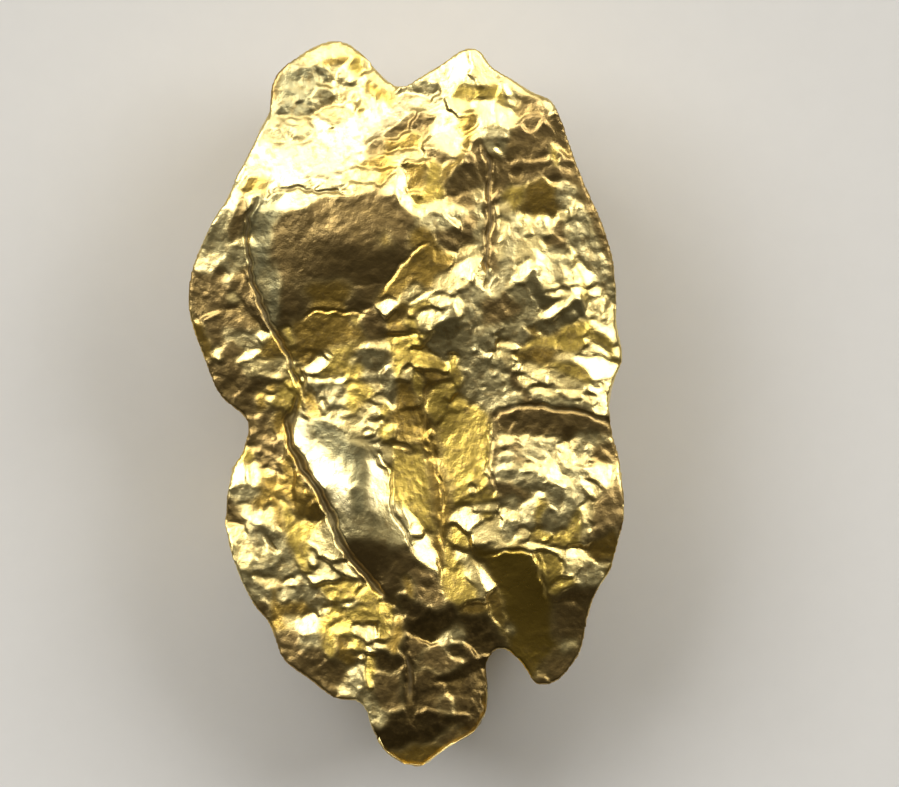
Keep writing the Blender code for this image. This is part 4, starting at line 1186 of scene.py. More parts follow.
class Wiring:
    """A short way to add nodes to a tree and join them."""

    def __init__(self, tree: bpy.types.NodeTree) -> None:
        """Work on one tree."""
        self.tree = tree

    def add(self, kind: str, inputs: dict[str, object] | None = None, **settings: object) -> bpy.types.Node:
        """Add a node.

        Args:
            kind: The node's type.
            inputs: What each named input holds, or the socket that feeds it.
            settings: The node's own settings.

        Returns:
            The node.
        """
        node = self.tree.nodes.new(kind)
        for key, value in settings.items():
            setattr(node, key, value)
        for key, value in (inputs or {}).items():
            self.feed(node.inputs[key], value)
        return node

    def feed(self, socket: bpy.types.NodeSocket, value: object) -> None:
        """Set a socket, or join another socket to it.

        Args:
            socket: The socket.
            value: Its value, or the socket that feeds it.
        """
        if isinstance(value, bpy.types.NodeSocket):
            self.tree.links.new(value, socket)
        else:
            socket.default_value = value

    def math(self, operation: str, first: object, second: object = 0.0) -> bpy.types.NodeSocket:
        """Join two values by a sum.

        Args:
            operation: The sum's type.
            first: The first value, or the socket that feeds it.
            second: The second value, or the socket that feeds it.

        Returns:
            The result.
        """
        node = self.add("ShaderNodeMath", operation=operation)
        self.feed(node.inputs[0], first)
        self.feed(node.inputs[1], second)
        return node.outputs[0]

    def mix(self, share: object, first: object, second: object) -> bpy.types.NodeSocket:
        """Blend two colours.

        Args:
            share: How much of the second there is.
            first: The first colour.
            second: The second colour.

        Returns:
            The blend.
        """
        node = self.add("ShaderNodeMix", data_type="RGBA")
        self.feed(node.inputs[0], share)
        self.feed(node.inputs[6], first)
        self.feed(node.inputs[7], second)
        return node.outputs[2]

    def eased(self, value: object, low: float, high: float, to_low: float = 0.0,
              to_high: float = 1.0) -> bpy.types.NodeSocket:
        """Ease a value from one range to another.

        Args:
            value: The value.
            low: Where the result leaves to_low.
            high: Where the result reaches to_high.
            to_low: The least result.
            to_high: The greatest result.

        Returns:
            The eased value.
        """
        node = self.add("ShaderNodeMapRange", interpolation_type="SMOOTHSTEP")
        for name, number in (("Value", value), ("From Min", low), ("From Max", high), ("To Min", to_low),
                             ("To Max", to_high)):
            self.feed(node.inputs[name], number)
        return node.outputs["Result"]


def apply_modifiers(piece: bpy.types.Object) -> None:
    """Turn a piece's modifiers into plain mesh.

    Args:
        piece: The piece.
    """
    bpy.context.view_layer.update()
    shaped = bpy.data.meshes.new_from_object(piece.evaluated_get(bpy.context.evaluated_depsgraph_get()))
    piece.modifiers.clear()
    piece.data = shaped


def remesh(piece: bpy.types.Object, voxel: float) -> None:
    """Give a piece an even skin of small faces, and apply its modifiers.

    Args:
        piece: The piece.
        voxel: Spacing of the skin, in the piece's own units.
    """
    evener = piece.modifiers.new("even skin", "REMESH")
    evener.mode = "VOXEL"
    evener.voxel_size = voxel
    apply_modifiers(piece)


def smooth(piece: bpy.types.Object, repeats: int, group: str = "") -> None:
    """Smooth a piece, and apply its modifiers.

    Args:
        piece: The piece.
        repeats: How often it is smoothed.
        group: The vertices that are smoothed, or nothing for all of them.
    """
    soften = piece.modifiers.new("soften", "SMOOTH")
    soften.factor = 0.5
    soften.iterations = repeats
    soften.vertex_group = group
    apply_modifiers(piece)


def group_vertices(piece: bpy.types.Object, name: str, shares: np.ndarray) -> None:
    """Put every vertex of a piece into one group.

    Args:
        piece: The piece.
        name: The group's name.
        shares: How much each vertex belongs to the group, which is rounded to tenths.
    """
    group = piece.vertex_groups.new(name=name)
    rounded = np.round(shares, 1)
    for share in np.unique(rounded):
        group.add(np.flatnonzero(rounded == share).tolist(), float(share), "REPLACE")


def vertex_values(mesh: bpy.types.Mesh, name: str) -> np.ndarray:
    """Read a vector from every vertex.

    Args:
        mesh: The mesh to read.
        name: "co" for places or "normal" for directions.

    Returns:
        One row for each vertex.
    """
    values = np.empty(len(mesh.vertices) * 3, dtype=np.float32)
    mesh.vertices.foreach_get(name, values)
    return values.reshape(-1, 3).astype(float)


def place_vertices(mesh: bpy.types.Mesh, places: np.ndarray) -> None:
    """Move every vertex.

    Args:
        mesh: The mesh.
        places: A row for each vertex.
    """
    mesh.vertices.foreach_set("co", places.astype(np.float32).ravel())
    mesh.update()


def store_values(mesh: bpy.types.Mesh, name: str, values: np.ndarray) -> None:
    """Keep one number for each vertex.

    Args:
        mesh: The mesh.
        name: What the numbers are kept as.
        values: A number for each vertex.
    """
    stored = mesh.attributes.get(name) or mesh.attributes.new(name, "FLOAT", "POINT")
    stored.data.foreach_set("value", values.astype(np.float32))


@dataclass
class StreamWear:
    """Fine wear all over the skin, made by a Geometry Nodes tree: a low grain and small pits.

    Attributes:
        grain_size: Size of the grain's lumps, in millimetres.
        grain_depth: Height of the grain, in millimetres.
        pit_spacing: Distance between pits, in millimetres.
        pit_depth: Depth of the pits, in millimetres.
        seed: Which wear it is.
    """

    grain_size: float = 0.06
    grain_depth: float = 0.010
    pit_spacing: float = 0.30
    pit_depth: float = 0.020
    seed: float = 3.0

    def tree(self) -> bpy.types.GeometryNodeTree:
        """Build the tree that moves the skin along its normals and gives it its metal.

        Returns:
            The tree.
        """
        tree = bpy.data.node_groups.new("stream wear", "GeometryNodeTree")
        face = tree.interface
        face.new_socket(name="Geometry", in_out="OUTPUT", socket_type="NodeSocketGeometry")
        face.new_socket(name="Geometry", in_out="INPUT", socket_type="NodeSocketGeometry")
        for name in ("Grain size", "Grain depth", "Pit spacing", "Pit depth", "Seed"):
            face.new_socket(name=name, in_out="INPUT", socket_type="NodeSocketFloat")
        face.new_socket(name="Metal", in_out="INPUT", socket_type="NodeSocketMaterial")
        wire = Wiring(tree)
        given = wire.add("NodeGroupInput").outputs
        place = wire.add("GeometryNodeInputPosition").outputs[0]
        grain_scale = wire.math("DIVIDE", 1.0, given["Grain size"])
        grain = wire.add("ShaderNodeTexNoise", {"Vector": place, "W": given["Seed"], "Scale": grain_scale,
                                                "Detail": 2.0}, noise_dimensions="4D")
        pit_scale = wire.math("DIVIDE", 1.0, given["Pit spacing"])
        pits = wire.add("ShaderNodeTexVoronoi", {"Vector": place, "W": given["Seed"], "Scale": pit_scale},
                        voronoi_dimensions="4D")
        bowl = wire.eased(pits.outputs["Distance"], 0.12, 0.34, 1.0, 0.0)
        rough = wire.add("GeometryNodeInputNamedAttribute", {"Name": "rough"}, data_type="FLOAT").outputs[0]
        centred = wire.math("SUBTRACT", grain.outputs[0], 0.5)
        lumps = wire.math("MULTIPLY", wire.math("MULTIPLY", centred, given["Grain depth"]), 2.0)
        sunk = wire.math("MULTIPLY", bowl, given["Pit depth"])
        total = wire.math("MULTIPLY", wire.math("SUBTRACT", lumps, sunk), wire.math("ADD", rough, 0.10))
        normal = wire.add("GeometryNodeInputNormal").outputs[0]
        along = wire.add("ShaderNodeVectorMath", {"Vector": normal, "Scale": total}, operation="SCALE")
        moved = wire.add("GeometryNodeSetPosition",
                         {"Geometry": given["Geometry"], "Offset": along.outputs[0]})
        real = wire.add("GeometryNodeRealizeInstances", {"Geometry": moved.outputs[0]})
        dressed = wire.add("GeometryNodeSetMaterial",
                           {"Geometry": real.outputs[0], "Material": given["Metal"]})
        wire.feed(wire.add("NodeGroupOutput").inputs[0], dressed.outputs[0])
        return tree

    def wear(self, piece: bpy.types.Object, metal: bpy.types.Material) -> None:
        """Wear a piece, in plain mesh, and give it its metal.

        Args:
            piece: The piece, in millimetres, with its "rough" values.
            metal: The metal that the worn piece is made of.
        """
        tree = self.tree()
        modifier = piece.modifiers.new("stream wear", "NODES")
        modifier.node_group = tree
        wanted = {
            "Grain size": self.grain_size,
            "Grain depth": self.grain_depth,
            "Pit spacing": self.pit_spacing,
            "Pit depth": self.pit_depth,
            "Seed": self.seed,
            "Metal": metal,
        }
        for item in tree.interface.items_tree:
            if item.in_out == "INPUT" and item.name in wanted:
                modifier[item.identifier] = wanted[item.name]
        apply_modifiers(piece)


@dataclass
class NuggetSkin:
    """The nugget's whole outer skin: the relief on its front, flats and dents on its sides and back.

    Attributes:
        node: The frame's node that it stands for.
        body: The frame's body that it rides on.
        metal_slot: The record's material slot for its finish; it is not used.
        soften_voxel: Spacing of the plain body, in millimetres.
        soften_repeats: How often the plain body is smoothed.
        shoulder: Radius of the front's outer edge, in millimetres.
        shoulder_fall: How far that edge lies under the front beside it, in millimetres.
        rim_width: Over what distance the body's outline is felt, in millimetres.
        rim_inset: How far inside the outline the body's own height is trusted, in millimetres.
        rim_reach: From how far inside that height is carried out to the outline, in millimetres.
        past_rim: From how near and how far the height is carried on past the outline, in millimetres.
        groove: How deep a groove is still evened out, from wholly to not at all, in millimetres.
        evenness: Over what distance the plain body under the relief is evened out, in millimetres.
        voxel: Spacing of the finished skin, in millimetres.
        voxel_repeats: How often it is smoothed before the relief is raised.
        triangles: The most triangles that the finished skin has.
        side_care: How far triangles are kept on the sides, where the front's share is 1.
        rim_repeats: How often the sides are smoothed where they meet the front.
        side_flats: The flats of the sides and back, from the widest to the smallest: how far apart their
            middles are, in millimetres, their usual slope, and how often their edges are smoothed.
        flat_waver: How far a flat's border wanders, as a share of its size.
        flat_sink: How far a flat lies under the skin at its middle, as a share of its size.
        flat_depth: The deepest that it goes, as a share of its size.
        middle_tries: How many vertices are tried as the middle of a flat.
        side_rough: How crumpled the sides and back are.
        side_stain: How stained they are.
        hollow_reach: Over what distance a place is compared with its neighbours, in millimetres.
        deep_hollow: How far under its neighbours a place is fully hollow, in millimetres.
    """

    node: str = "nugget"
    body: str = "root"
    metal_slot: str = "native_gold"
    soften_voxel: float = 0.06
    soften_repeats: int = 8
    shoulder: float = 0.12
    shoulder_fall: float = 0.04
    rim_width: float = 0.07
    rim_inset: float = 0.22
    rim_reach: float = 0.28
    past_rim: tuple[float, float] = (0.12, 0.8)
    groove: tuple[float, float] = (1.2, 1.5)
    evenness: float = 0.22
    voxel: float = 0.027
    voxel_repeats: int = 3
    triangles: int = 196_000
    side_care: float = 0.4
    rim_repeats: int = 14
    side_flats: tuple[tuple[float, float, int], ...] = ((0.90, 0.36, 10), (0.45, 0.36, 6), (0.20, 0.30, 3))
    flat_waver: float = 0.12
    flat_sink: float = 0.08
    flat_depth: float = 0.24
    middle_tries: int = 60_000
    side_rough: float = 0.28
    side_stain: float = 0.3
    hollow_reach: float = 0.16
    deep_hollow: float = 0.10

    def plain_body(self) -> bpy.types.Object:
        """Copy the frame's solid, in millimetres, as one smooth closed skin."""
        shell = bmesh.new()
        shell.from_mesh(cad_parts[self.node].data)
        bmesh.ops.remove_doubles(shell, verts=shell.verts[:], dist=1e-7)
        mesh = bpy.data.meshes.new("plain body")
        shell.to_mesh(mesh)
        shell.free()
        mesh.transform(Matrix.Scale(1.0 / MM, 4))
        plain = bpy.data.objects.new("nugget_skin", mesh)
        bpy.context.scene.collection.objects.link(plain)
        remesh(plain, self.soften_voxel)
        smooth(plain, self.soften_repeats)
        return plain

    def square_shoulders(self, plain: bpy.types.Object, plan: Plan) -> None:
        """Lift the plain body's top near its outline, so that the front reaches out to the outline.

        Args:
            plain: The plain body.
            plan: The places where its height is felt.
        """
        height, inside = self.body_height(plain, plan, self.rim_width)
        deep = (plan.blurred(inside, self.rim_inset) > 0.95).astype(float)
        deep_share = np.maximum(plan.blurred(deep, self.rim_reach), 1e-4)
        near = plan.blurred(height * deep, self.rim_reach) / deep_share
        drop = np.clip((plan.blurred(inside, self.rim_width) - 0.5) / 0.46, 0.0, 1.0)
        drop = self.shoulder * (1.0 - np.sqrt(1.0 - (1.0 - drop) ** 2))
        lifted = np.where(deep > 0.5, height, np.maximum(height, near - drop - self.shoulder_fall))
        places = vertex_values(plain.data, "co")
        up = vertex_values(plain.data, "normal")[:, 2]
        gap = plan.sampled(lifted, places) - places[:, 2]
        places[:, 2] += smooth_step(up, 0.0, 0.08) * np.maximum(gap, 0.0)
        place_vertices(plain.data, places)

    def body_height(self, plain: bpy.types.Object, plan: Plan,
                    evenness: float) -> tuple[np.ndarray, np.ndarray]:
        """Feel for the top of the plain body at every second place of the plan.

        Args:
            plain: The plain body.
            plan: The places.
            evenness: Over what distance its height is evened out, in millimetres.

        Returns:
            The body's height at each place, carried on level past its outline, and where there is body.
        """
        bpy.context.view_layer.update()
        feeler = BVHTree.FromObject(plain, bpy.context.evaluated_depsgraph_get())
        down = Vector((0.0, 0.0, -1.0))
        xs, ys = plan.x[::2, ::2], plan.y[::2, ::2]
        felt = np.zeros(xs.shape)
        for index in np.ndindex(xs.shape):
            hit = feeler.ray_cast(Vector((xs[index], ys[index], 10.0)), down)[0]
            felt[index] = hit.z if hit else 0.0
        height = np.repeat(np.repeat(felt, 2, axis=0), 2, axis=1)[:plan.x.shape[0], :plan.x.shape[1]]
        inside = (height > 0.0).astype(float)
        near_share, far_share = (plan.blurred(inside, reach) for reach in self.past_rim)
        near = plan.blurred(height * inside, self.past_rim[0]) / np.maximum(near_share, 1e-6)
        far = plan.blurred(height * inside, self.past_rim[1]) / np.maximum(far_share, 1e-6)
        known = smooth_step(near_share, 0.0, 0.3)
        filled = np.where(inside > 0.5, height, near * known + far * (1.0 - known))
        return plan.blurred(filled, evenness), inside

    def even_front(self, plain: bpy.types.Object, plan: Plan, ground: np.ndarray) -> None:
        """Bring the plain body's top to the evened height, so that no old groove shows under the relief.

        Args:
            plain: The plain body.
            plan: The places where the height is known.
            ground: The evened height at each place.
        """
        places = vertex_values(plain.data, "co")
        up = vertex_values(plain.data, "normal")[:, 2]
        gap = plan.sampled(ground, places) - places[:, 2]
        on_top = smooth_step(up, 0.0, 0.10) * (1.0 - smooth_step(np.abs(gap), *self.groove))
        places[:, 2] += on_top * gap
        place_vertices(plain.data, places)

    def raise_front(self, mesh: bpy.types.Mesh, relief: CrumpledRelief) -> np.ndarray:
        """Give the front of the skin its relief.

        Args:
            mesh: The skin.
            relief: The relief of the front.

        Returns:
            How much each vertex belongs to the front, from 0 to 1.
        """
        places = vertex_values(mesh, "co")
        up = vertex_values(mesh, "normal")[:, 2]
        ground = relief.plan.sampled(relief.ground, places)
        raised = relief.plan.sampled(relief.rises, places)
        top = 1.0 - smooth_step(np.abs(places[:, 2] - ground), 0.35, 0.7)
        front = smooth_step(up, 0.06, 0.42) * top
        places[:, 2] += front * (raised - ground)
        place_vertices(mesh, places)
        return front

    def soften_sides(self, skin: bpy.types.Object, front: np.ndarray, repeats: int) -> None:
        """Smooth the sides and the back, as tumbling in a stream wears them.

        Args:
            skin: The skin.
            front: How much each vertex belongs to the front, which is left alone.
            repeats: How often they are smoothed.
        """
        group_vertices(skin, "sides", 1.0 - front)
        smooth(skin, repeats, "sides")
        skin.vertex_groups.clear()

    def knock_sides(self, mesh: bpy.types.Mesh, relief: CrumpledRelief, front: np.ndarray, size: float,
                    lean: float, seed: int) -> None:
        """Knock leaning flats into the sides and the back, each meeting the next at a low step.

        Args:
            mesh: The skin.
            relief: The relief of the front, under which the flats grow shallow.
            front: How much each vertex belongs to the front, which is left alone.
            size: Distance between the flats' middles, in millimetres.
            lean: Usual slope of a flat.
            seed: Which flats they are.
        """
        places = vertex_values(mesh, "co")
        normals = vertex_values(mesh, "normal")
        chooser = np.random.default_rng(seed)
        order = chooser.permutation(len(places))
        taken = {}
        for index in order[:self.middle_tries]:
            cell = tuple(np.floor(places[index] / size).astype(int))
            if cell not in taken:
                taken[cell] = index
        middles = np.array(sorted(taken.values()))
        tree = KDTree(len(middles))
        for number, index in enumerate(middles):
            tree.insert(places[index], number)
        tree.balance()
        phase = chooser.uniform(0.0, 6.0, 3)
        wobble = self.flat_waver * size * np.sin(places[:, [1, 2, 0]] * (7.0 / size) + phase)
        nearest = np.array([tree.find(place)[1] for place in places + wobble])
        slopes = chooser.standard_normal((len(middles), 3)) * lean
        away = places - places[middles[nearest]]
        rise = np.einsum("ij,ij->i", away, slopes[nearest])
        rise = np.clip(rise - self.flat_sink * size, -self.flat_depth * size, 0.0)
        resting = smooth_step(places[:, 2], 0.03, 0.25)
        under = relief.plan.sampled(relief.ground, places) - places[:, 2]
        calm = 0.30 + 0.70 * smooth_step(under, 0.15, 1.1)
        places += normals * (rise * (1.0 - front) * resting * calm)[:, None]
        place_vertices(mesh, places)

    def thin(self, skin: bpy.types.Object, front: np.ndarray) -> None:
        """Take triangles away until few enough are left, mostly from the sides and the back.

        Args:
            skin: The skin.
            front: How much each vertex belongs to the front, where triangles are kept.
        """
        sides = self.side_care * smooth_step(vertex_values(skin.data, "co")[:, 2], 0.04, 0.3)
        group_vertices(skin, "front", np.maximum(front, sides))
        present = sum(len(face.vertices) - 2 for face in skin.data.polygons)
        thinner = skin.modifiers.new("thin", "DECIMATE")
        thinner.ratio = min(1.0, self.triangles / present)
        thinner.vertex_group = "front"
        thinner.invert_vertex_group = True
        thinner.vertex_group_factor = 1.0
        thinner.use_collapse_triangulate = True
        apply_modifiers(skin)
        skin.vertex_groups.clear()

    def paint(self, mesh: bpy.types.Mesh, relief: CrumpledRelief) -> None:
        """Note at each vertex how crumpled the skin is, how deep it lies, its stains, cracks and shade.

        Args:
            mesh: The skin.
            relief: The relief of the front.
        """
        places = vertex_values(mesh, "co")
        up = vertex_values(mesh, "normal")[:, 2]
        plan = relief.plan
        # The hollow and crack values and the tone shares noted here carry painted light and shade into the
        # metal.
        level = plan.blurred(relief.rises, self.hollow_reach) - relief.rises
        hollow = plan.sampled(level, places) / self.deep_hollow
        seen = smooth_step(up, 0.0, 0.3)
        crumpled = plan.sampled(relief.rough, places)
        store_values(mesh, "hollow", np.clip(0.5 + 0.5 * hollow * seen, 0.0, 1.0))
        store_values(mesh, "rough", crumpled * seen + self.side_rough * (1.0 - seen))
        stained = smooth_step(crumpled, 0.02, 0.12)
        store_values(mesh, "stain", stained * seen + self.side_stain * (1.0 - seen))
        store_values(mesh, "crack", plan.sampled(relief.cracked, places) * seen)
        for tone, weight in relief.tones.items():
            if tone is not GOLD:
                share = plan.sampled(weight, places)
                store_values(mesh, tone.name.lower(), np.clip(share * seen, 0.0, 1.0))

    def fit_box(self, mesh: bpy.types.Mesh) -> None:
        """Stretch the skin, by a hair, to the frame's own box, and rest it on the worn flat.

        Args:
            mesh: The skin.
        """
        places = vertex_values(mesh, "co")
        low, high = (np.array(corner) / MM for corner in CAD_BOX)
        bottom, top = places.min(axis=0), places.max(axis=0)
        places = low + (places - bottom) * (high - low) / (top - bottom)
        place_vertices(mesh, places)

    def build(self, metal: bpy.types.Material) -> bpy.types.Object:
        """Make the whole skin.

        Args:
            metal: The metal that it is made of.

        Returns:
            The finished piece, in metres, riding on its body.
        """
        plan = Plan()
        skin = self.plain_body()
        self.square_shoulders(skin, plan)
        remesh(skin, self.soften_voxel)
        ground, _inside = self.body_height(skin, plan, self.evenness)
        LOG.info("body felt")
        relief = CrumpledRelief(plan, ground)
        LOG.info("relief worked out, %.2f to %.2f mm from the body",
                 (relief.rises - ground).min(), (relief.rises - ground).max())
        self.even_front(skin, plan, ground)
        remesh(skin, self.voxel)
        smooth(skin, self.voxel_repeats)
        front = self.raise_front(skin.data, relief)
        self.soften_sides(skin, front, self.rim_repeats)
        for number, (size, lean, repeats) in enumerate(self.side_flats):
            self.knock_sides(skin.data, relief, front, size, lean, SEED + 7 + number)
            self.soften_sides(skin, front, repeats)
        self.paint(skin.data, relief)
        StreamWear().wear(skin, metal)
        self.thin(skin, front)
        self.paint(skin.data, relief)
        self.fit_box(skin.data)
        skin.data.transform(Matrix.Scale(MM, 4))
        skin.data.shade_smooth()
        skin.data.name = "nugget_skin"
        LOG.info("skin: %d triangles", len(skin.data.polygons))
        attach(skin, self.body)
        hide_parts(self.node)
        return skin


def place_grain(wire: Wiring, grain: bpy.types.ShaderNodeTree,
                **sizes: float) -> tuple[bpy.types.NodeSocket, bpy.types.Node]:
    """Put the shared fine grain in a material, fixed to the piece.

    Args:
        wire: The material's wiring.
        grain: The fine grain.
        sizes: The grain's own inputs, with _ for each space in their names.

    Returns:
        The place on the piece, in millimetres, and the grain's node.
    """
    place = wire.add("ShaderNodeTexCoord").outputs["Object"]
    in_mm = wire.add("ShaderNodeMapping", {"Vector": place, "Scale": (1.0 / MM,) * 3}).outputs[0]
    node = wire.add("ShaderNodeGroup", node_tree=grain)
    wire.feed(node.inputs["Vector"], in_mm)
    for name, value in sizes.items():
        wire.feed(node.inputs[name.replace("_", " ")], value)
    return in_mm, node


def grain_group() -> bpy.types.ShaderNodeTree:
    """Build the fine grain that the metal and the floor share.

    Returns:
        The group, which puts out heights and a mottle.
    """
    tree = bpy.data.node_groups.new("fine grain", "ShaderNodeTree")
    face = tree.interface
    face.new_socket(name="Vector", in_out="INPUT", socket_type="NodeSocketVector")
    for name in ("Coarse per mm", "Fine per mm", "Fine share"):
        face.new_socket(name=name, in_out="INPUT", socket_type="NodeSocketFloat")
    face.new_socket(name="Height", in_out="OUTPUT", socket_type="NodeSocketFloat")
    face.new_socket(name="Mottle", in_out="OUTPUT", socket_type="NodeSocketFloat")
    wire = Wiring(tree)
    given = wire.add("NodeGroupInput").outputs
    coarse = wire.add("ShaderNodeTexNoise", {"Vector": given["Vector"], "Scale": given["Coarse per mm"],
                                             "Detail": 3.0, "Roughness": 0.6})
    cells = wire.add("ShaderNodeTexVoronoi", {"Vector": given["Vector"], "Scale": given["Fine per mm"],
                                              "Randomness": 1.0}, feature="F1")
    fine = wire.math("MULTIPLY", cells.outputs["Distance"], given["Fine share"])
    out = wire.add("NodeGroupOutput")
    wire.feed(out.inputs["Height"], wire.math("ADD", coarse.outputs[0], fine))
    wire.feed(out.inputs["Mottle"], coarse.outputs[0])
    return tree


def hollow_shade_group() -> bpy.types.ShaderNodeTree:
    """Build the mask of painted shade in the deepest hollows, broken into patches by noise.

    Returns:
        The group, which puts out the mask.
    """
    tree = bpy.data.node_groups.new("lodged dark", "ShaderNodeTree")
    face = tree.interface
    face.new_socket(name="Vector", in_out="INPUT", socket_type="NodeSocketVector")
    for name in ("Hollow", "Start", "Full", "Patches per mm"):
        face.new_socket(name=name, in_out="INPUT", socket_type="NodeSocketFloat")
    face.new_socket(name="Mask", in_out="OUTPUT", socket_type="NodeSocketFloat")
    wire = Wiring(tree)
    given = wire.add("NodeGroupInput").outputs
    patches = wire.add("ShaderNodeTexNoise", {"Vector": given["Vector"], "Scale": given["Patches per mm"],
                                              "Detail": 4.0, "Roughness": 0.65})
    shifted = wire.math("ADD", given["Hollow"],
                        wire.math("MULTIPLY", wire.math("SUBTRACT", patches.outputs[0], 0.5), 0.5))
    reach = wire.add("ShaderNodeMapRange", {"Value": shifted, "From Min": given["Start"],
                                            "From Max": given["Full"]}, interpolation_type="SMOOTHSTEP")
    wire.feed(wire.add("NodeGroupOutput").inputs["Mask"], reach.outputs["Result"])
    return tree


@dataclass(frozen=True)
class NativeGold:
    """The nugget's metal: pale natural gold, brighter on its heights, deeper in colour in its folds as
    painted reflection and shade.

    Attributes:
        deepening: How much the gold's colour deepens towards amber in the hollows, as painted gold-on-gold
            reflection and shade.
        staining: How strongly the fine brown specks colour the metal.
        dark_colour: Colour of the painted shade in the cracks and deepest hollows.
        smooth: Roughness of water-worn places.
        crumpled: Roughness of crumpled places.
        grain_height: Height of the fine grain, in metres.
    """

    deepening: float = 0.5
    staining: float = 0.55
    dark_colour: tuple[float, float, float, float] = (0.050, 0.035, 0.014, 1.0)
    smooth: float = 0.27
    crumpled: float = 0.40
    grain_height: float = 0.000016

    def material(self, grain: bpy.types.ShaderNodeTree,
                 hollow_shade_tree: bpy.types.ShaderNodeTree) -> bpy.types.Material:
        """Make the metal.

        Args:
            grain: The shared fine grain.
            hollow_shade_tree: The mask of painted shade in the deepest hollows.

        Returns:
            The material.
        """
        metal = bpy.data.materials.new("native gold")
        metal.use_nodes = True
        wire = Wiring(metal.node_tree)
        shader = metal.node_tree.nodes["Principled BSDF"]
        in_mm, fine = place_grain(wire, grain, Coarse_per_mm=10.0, Fine_per_mm=45.0, Fine_share=0.12)
        hollow = wire.add("ShaderNodeAttribute", attribute_name="hollow").outputs["Fac"]
        rough = wire.add("ShaderNodeAttribute", attribute_name="rough").outputs["Fac"]
        # Painted shade: the deepest hollows and the cracks take dark_colour, less metallic and rougher.
        hollow_shade = wire.add("ShaderNodeGroup", node_tree=hollow_shade_tree)
        wire.feed(hollow_shade.inputs["Vector"], in_mm)
        wire.feed(hollow_shade.inputs["Hollow"], hollow)
        hollow_shade.inputs["Start"].default_value = 0.80
        hollow_shade.inputs["Full"].default_value = 1.10
        hollow_shade.inputs["Patches per mm"].default_value = 4.0
        crack = wire.add("ShaderNodeAttribute", attribute_name="crack").outputs["Fac"]
        mask = wire.math("MAXIMUM", wire.math("MULTIPLY", hollow_shade.outputs["Mask"], 0.8),
                         wire.eased(crack, 0.05, 0.50, 0.0, 0.80))
        depth = wire.math("ADD", hollow, wire.math("MULTIPLY", fine.outputs["Mottle"], 0.3))
        # Painted light and shade: each facet's tone paints its highlight, reflection or shade into the gold.
        tint = GOLD.value + (1.0,)
        for tone in Tone:
            if tone is not GOLD:
                share = wire.add("ShaderNodeAttribute", attribute_name=tone.name.lower()).outputs["Fac"]
                tint = wire.mix(share, tint, tone.value + (1.0,))
        stain = wire.add("ShaderNodeAttribute", attribute_name="stain").outputs["Fac"]
        specks = wire.eased(fine.outputs["Mottle"], 0.48, 0.68, 0.0, self.staining)
        stained = wire.math("MULTIPLY", stain, specks)
        tint = wire.mix(stained, tint, BROWN.value + (1.0,))
        # Painted reflection and shade: the gold deepens towards amber in the hollows.
        deepened = wire.math("MULTIPLY", wire.eased(depth, 0.55, 1.0), self.deepening)
        tint = wire.mix(deepened, tint, AMBER.value + (1.0,))
        wire.feed(shader.inputs["Base Color"], wire.mix(mask, tint, self.dark_colour))
        wire.feed(shader.inputs["Metallic"], wire.math("SUBTRACT", 1.0, wire.math("MULTIPLY", mask, 0.5)))
        worn = wire.math("ADD", rough, wire.math("MULTIPLY", fine.outputs["Mottle"], 0.2))
        dull = wire.eased(worn, 0.05, 0.6, self.smooth, self.crumpled)
        wire.feed(shader.inputs["Roughness"], wire.math("ADD", dull, wire.math("MULTIPLY", mask, 0.3)))
        bump = wire.add("ShaderNodeBump", {"Height": wire.math("MULTIPLY", fine.outputs["Height"],
                                                              wire.math("ADD", rough, 0.25)),
                                           "Distance": self.grain_height, "Strength": 1.0})
        wire.feed(shader.inputs["Normal"], bump.outputs[0])
        return metal


@dataclass(frozen=True)
class PalePaper:
    """The plain pale floor's finish.

    Attributes:
        colour: Its colour.
        roughness: Its roughness.
        mottle: How bright its darker specks are, where the rest is 1.
    """

    colour: tuple[float, float, float, float] = (0.70, 0.69, 0.67, 1.0)
    roughness: float = 0.85
    mottle: float = 0.96

    def material(self, grain: bpy.types.ShaderNodeTree) -> bpy.types.Material:
        """Make the finish.

        Args:
            grain: The shared fine grain.

        Returns:
            The material.
        """
        paper = bpy.data.materials.new("pale paper")
        paper.use_nodes = True
        wire = Wiring(paper.node_tree)
        shader = paper.node_tree.nodes["Principled BSDF"]
        _in_mm, fine = place_grain(wire, grain, Coarse_per_mm=2.5, Fine_per_mm=6.0, Fine_share=0.1)
        shade = tuple(part * self.mottle for part in self.colour[:3]) + (1.0,)
        wire.feed(shader.inputs["Base Color"], wire.mix(fine.outputs["Mottle"], self.colour, shade))
        shader.inputs["Roughness"].default_value = self.roughness
        return paper


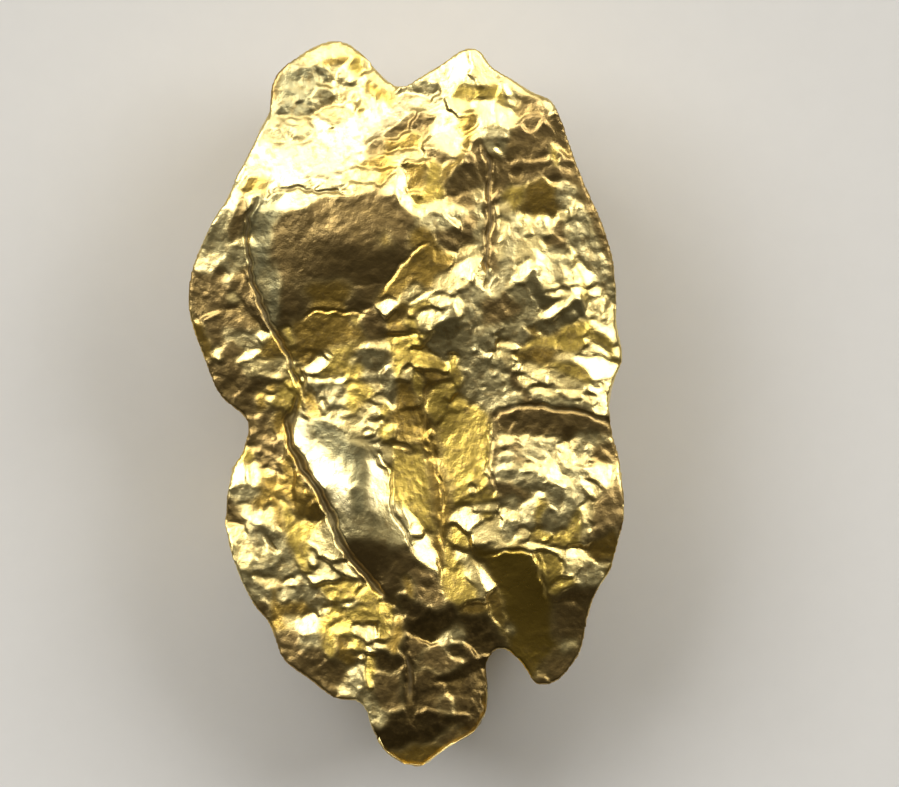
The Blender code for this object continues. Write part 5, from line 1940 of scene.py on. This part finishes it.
@dataclass
class Studio:
    """A plain floor, soft boxes and a camera that looks straight down.

    Attributes:
        pixels_per_mm: Scale of the picture at the nugget's waist.
        picture_width: Width of the picture, in pixels.
        nugget_middle: Where the nugget's middle falls in the picture, in pixels right and down of its centre.
        waist: Height that the scale holds at, in metres.
        camera_height: Height of the camera, in metres.
        floor_half: Half the floor's side, in metres.
        fill: Strength of the room's even light, behind the toe and behind the crown.
        room_colour: Colour of that light.
    """

    pixels_per_mm: float = 72.2
    picture_width: float = 899.0
    nugget_middle: tuple[float, float] = (-43.0, 10.5)
    waist: float = 0.0019
    camera_height: float = 0.30
    floor_half: float = 0.35
    fill: tuple[float, float] = (0.036, 0.38)
    room_colour: tuple[float, float, float, float] = (1.0, 0.88, 0.64, 1.0)

    def lay_floor(self, paper: bpy.types.Material) -> None:
        """Lay the floor under the nugget.

        Args:
            paper: The floor's finish.
        """
        floor = bmesh.new()
        bmesh.ops.create_grid(floor, x_segments=1, y_segments=1, size=self.floor_half)
        mesh = bpy.data.meshes.new("floor")
        floor.to_mesh(mesh)
        floor.free()
        mesh.materials.append(paper)
        piece = bpy.data.objects.new("floor", mesh)
        bpy.context.scene.collection.objects.link(piece)

    def hang_box(self, name: str, bearing: float, zenith: float, distance: float, size: tuple[float, float],
                 radiance: float) -> None:
        """Hang a soft box that faces the nugget.

        Args:
            name: What it is called.
            bearing: Where it hangs, in degrees clockwise from the crown.
            zenith: How far it is from straight overhead, in degrees.
            distance: How far it is from the nugget, in metres.
            size: Its width and height, in metres.
            radiance: How bright its face is.
        """
        light = bpy.data.lights.new(name, "AREA")
        light.shape = "RECTANGLE"
        light.size, light.size_y = size
        light.energy = radiance * 4.0 * size[0] * size[1]
        box = bpy.data.objects.new(name, light)
        turn, tilt = math.radians(bearing), math.radians(zenith)
        towards = Vector((math.sin(turn) * math.sin(tilt), math.cos(turn) * math.sin(tilt), math.cos(tilt)))
        box.location = towards * distance
        box.rotation_euler = towards.to_track_quat("Z", "Y").to_euler()
        bpy.context.scene.collection.objects.link(box)

    def light_room(self) -> None:
        """Give the room its dim even light."""
        world = bpy.data.worlds.new("room")
        world.use_nodes = True
        wire = Wiring(world.node_tree)
        background = world.node_tree.nodes["Background"]
        towards = wire.add("ShaderNodeTexCoord").outputs["Generated"]
        crownward = wire.add("ShaderNodeSeparateXYZ", {"Vector": towards}).outputs["Y"]
        background.inputs["Color"].default_value = self.room_colour
        wire.feed(background.inputs["Strength"], wire.eased(crownward, -0.34, 0.56, *self.fill))
        bpy.context.scene.world = world

    def set_camera(self) -> None:
        """Look straight down on the nugget, framed as a whole with room around it."""
        lens = bpy.data.cameras.new("camera")
        view_width = self.picture_width / self.pixels_per_mm * MM
        lens.sensor_width = 36.0
        lens.lens = lens.sensor_width * (self.camera_height - self.waist) / view_width
        lens.clip_start = 0.01
        camera = bpy.data.objects.new("camera", lens)
        across, down = self.nugget_middle
        camera.location = (-across / self.pixels_per_mm * MM, down / self.pixels_per_mm * MM,
                           self.camera_height)
        bpy.context.scene.collection.objects.link(camera)
        bpy.context.scene.camera = camera
        bpy.context.scene.view_settings.view_transform = "Standard"

    def build(self, paper: bpy.types.Material) -> None:
        """Set up the whole studio.

        Args:
            paper: The floor's finish.
        """
        self.lay_floor(paper)
        self.hang_box("crown left box", 302.0, 36.0, 0.30, (0.17, 0.17), 3.7)
        self.hang_box("crown right box", 61.0, 38.0, 0.30, (0.15, 0.15), 3.7)
        self.hang_box("crown wash", 2.0, 38.0, 0.45, (0.34, 0.26), 1.3)
        self.light_room()
        self.set_camera()


def main() -> None:
    """Build the nugget and its studio."""
    logging.basicConfig(level=logging.INFO, format="%(name)s: %(message)s")
    grain = grain_group()
    metal = NativeGold().material(grain, hollow_shade_group())
    skin = NuggetSkin().build(metal)
    LOG.info("piece %s stands for %s", skin.name, NuggetSkin.node)
    Studio().build(PalePaper().material(grain))


if __name__ == "__main__":
    main()
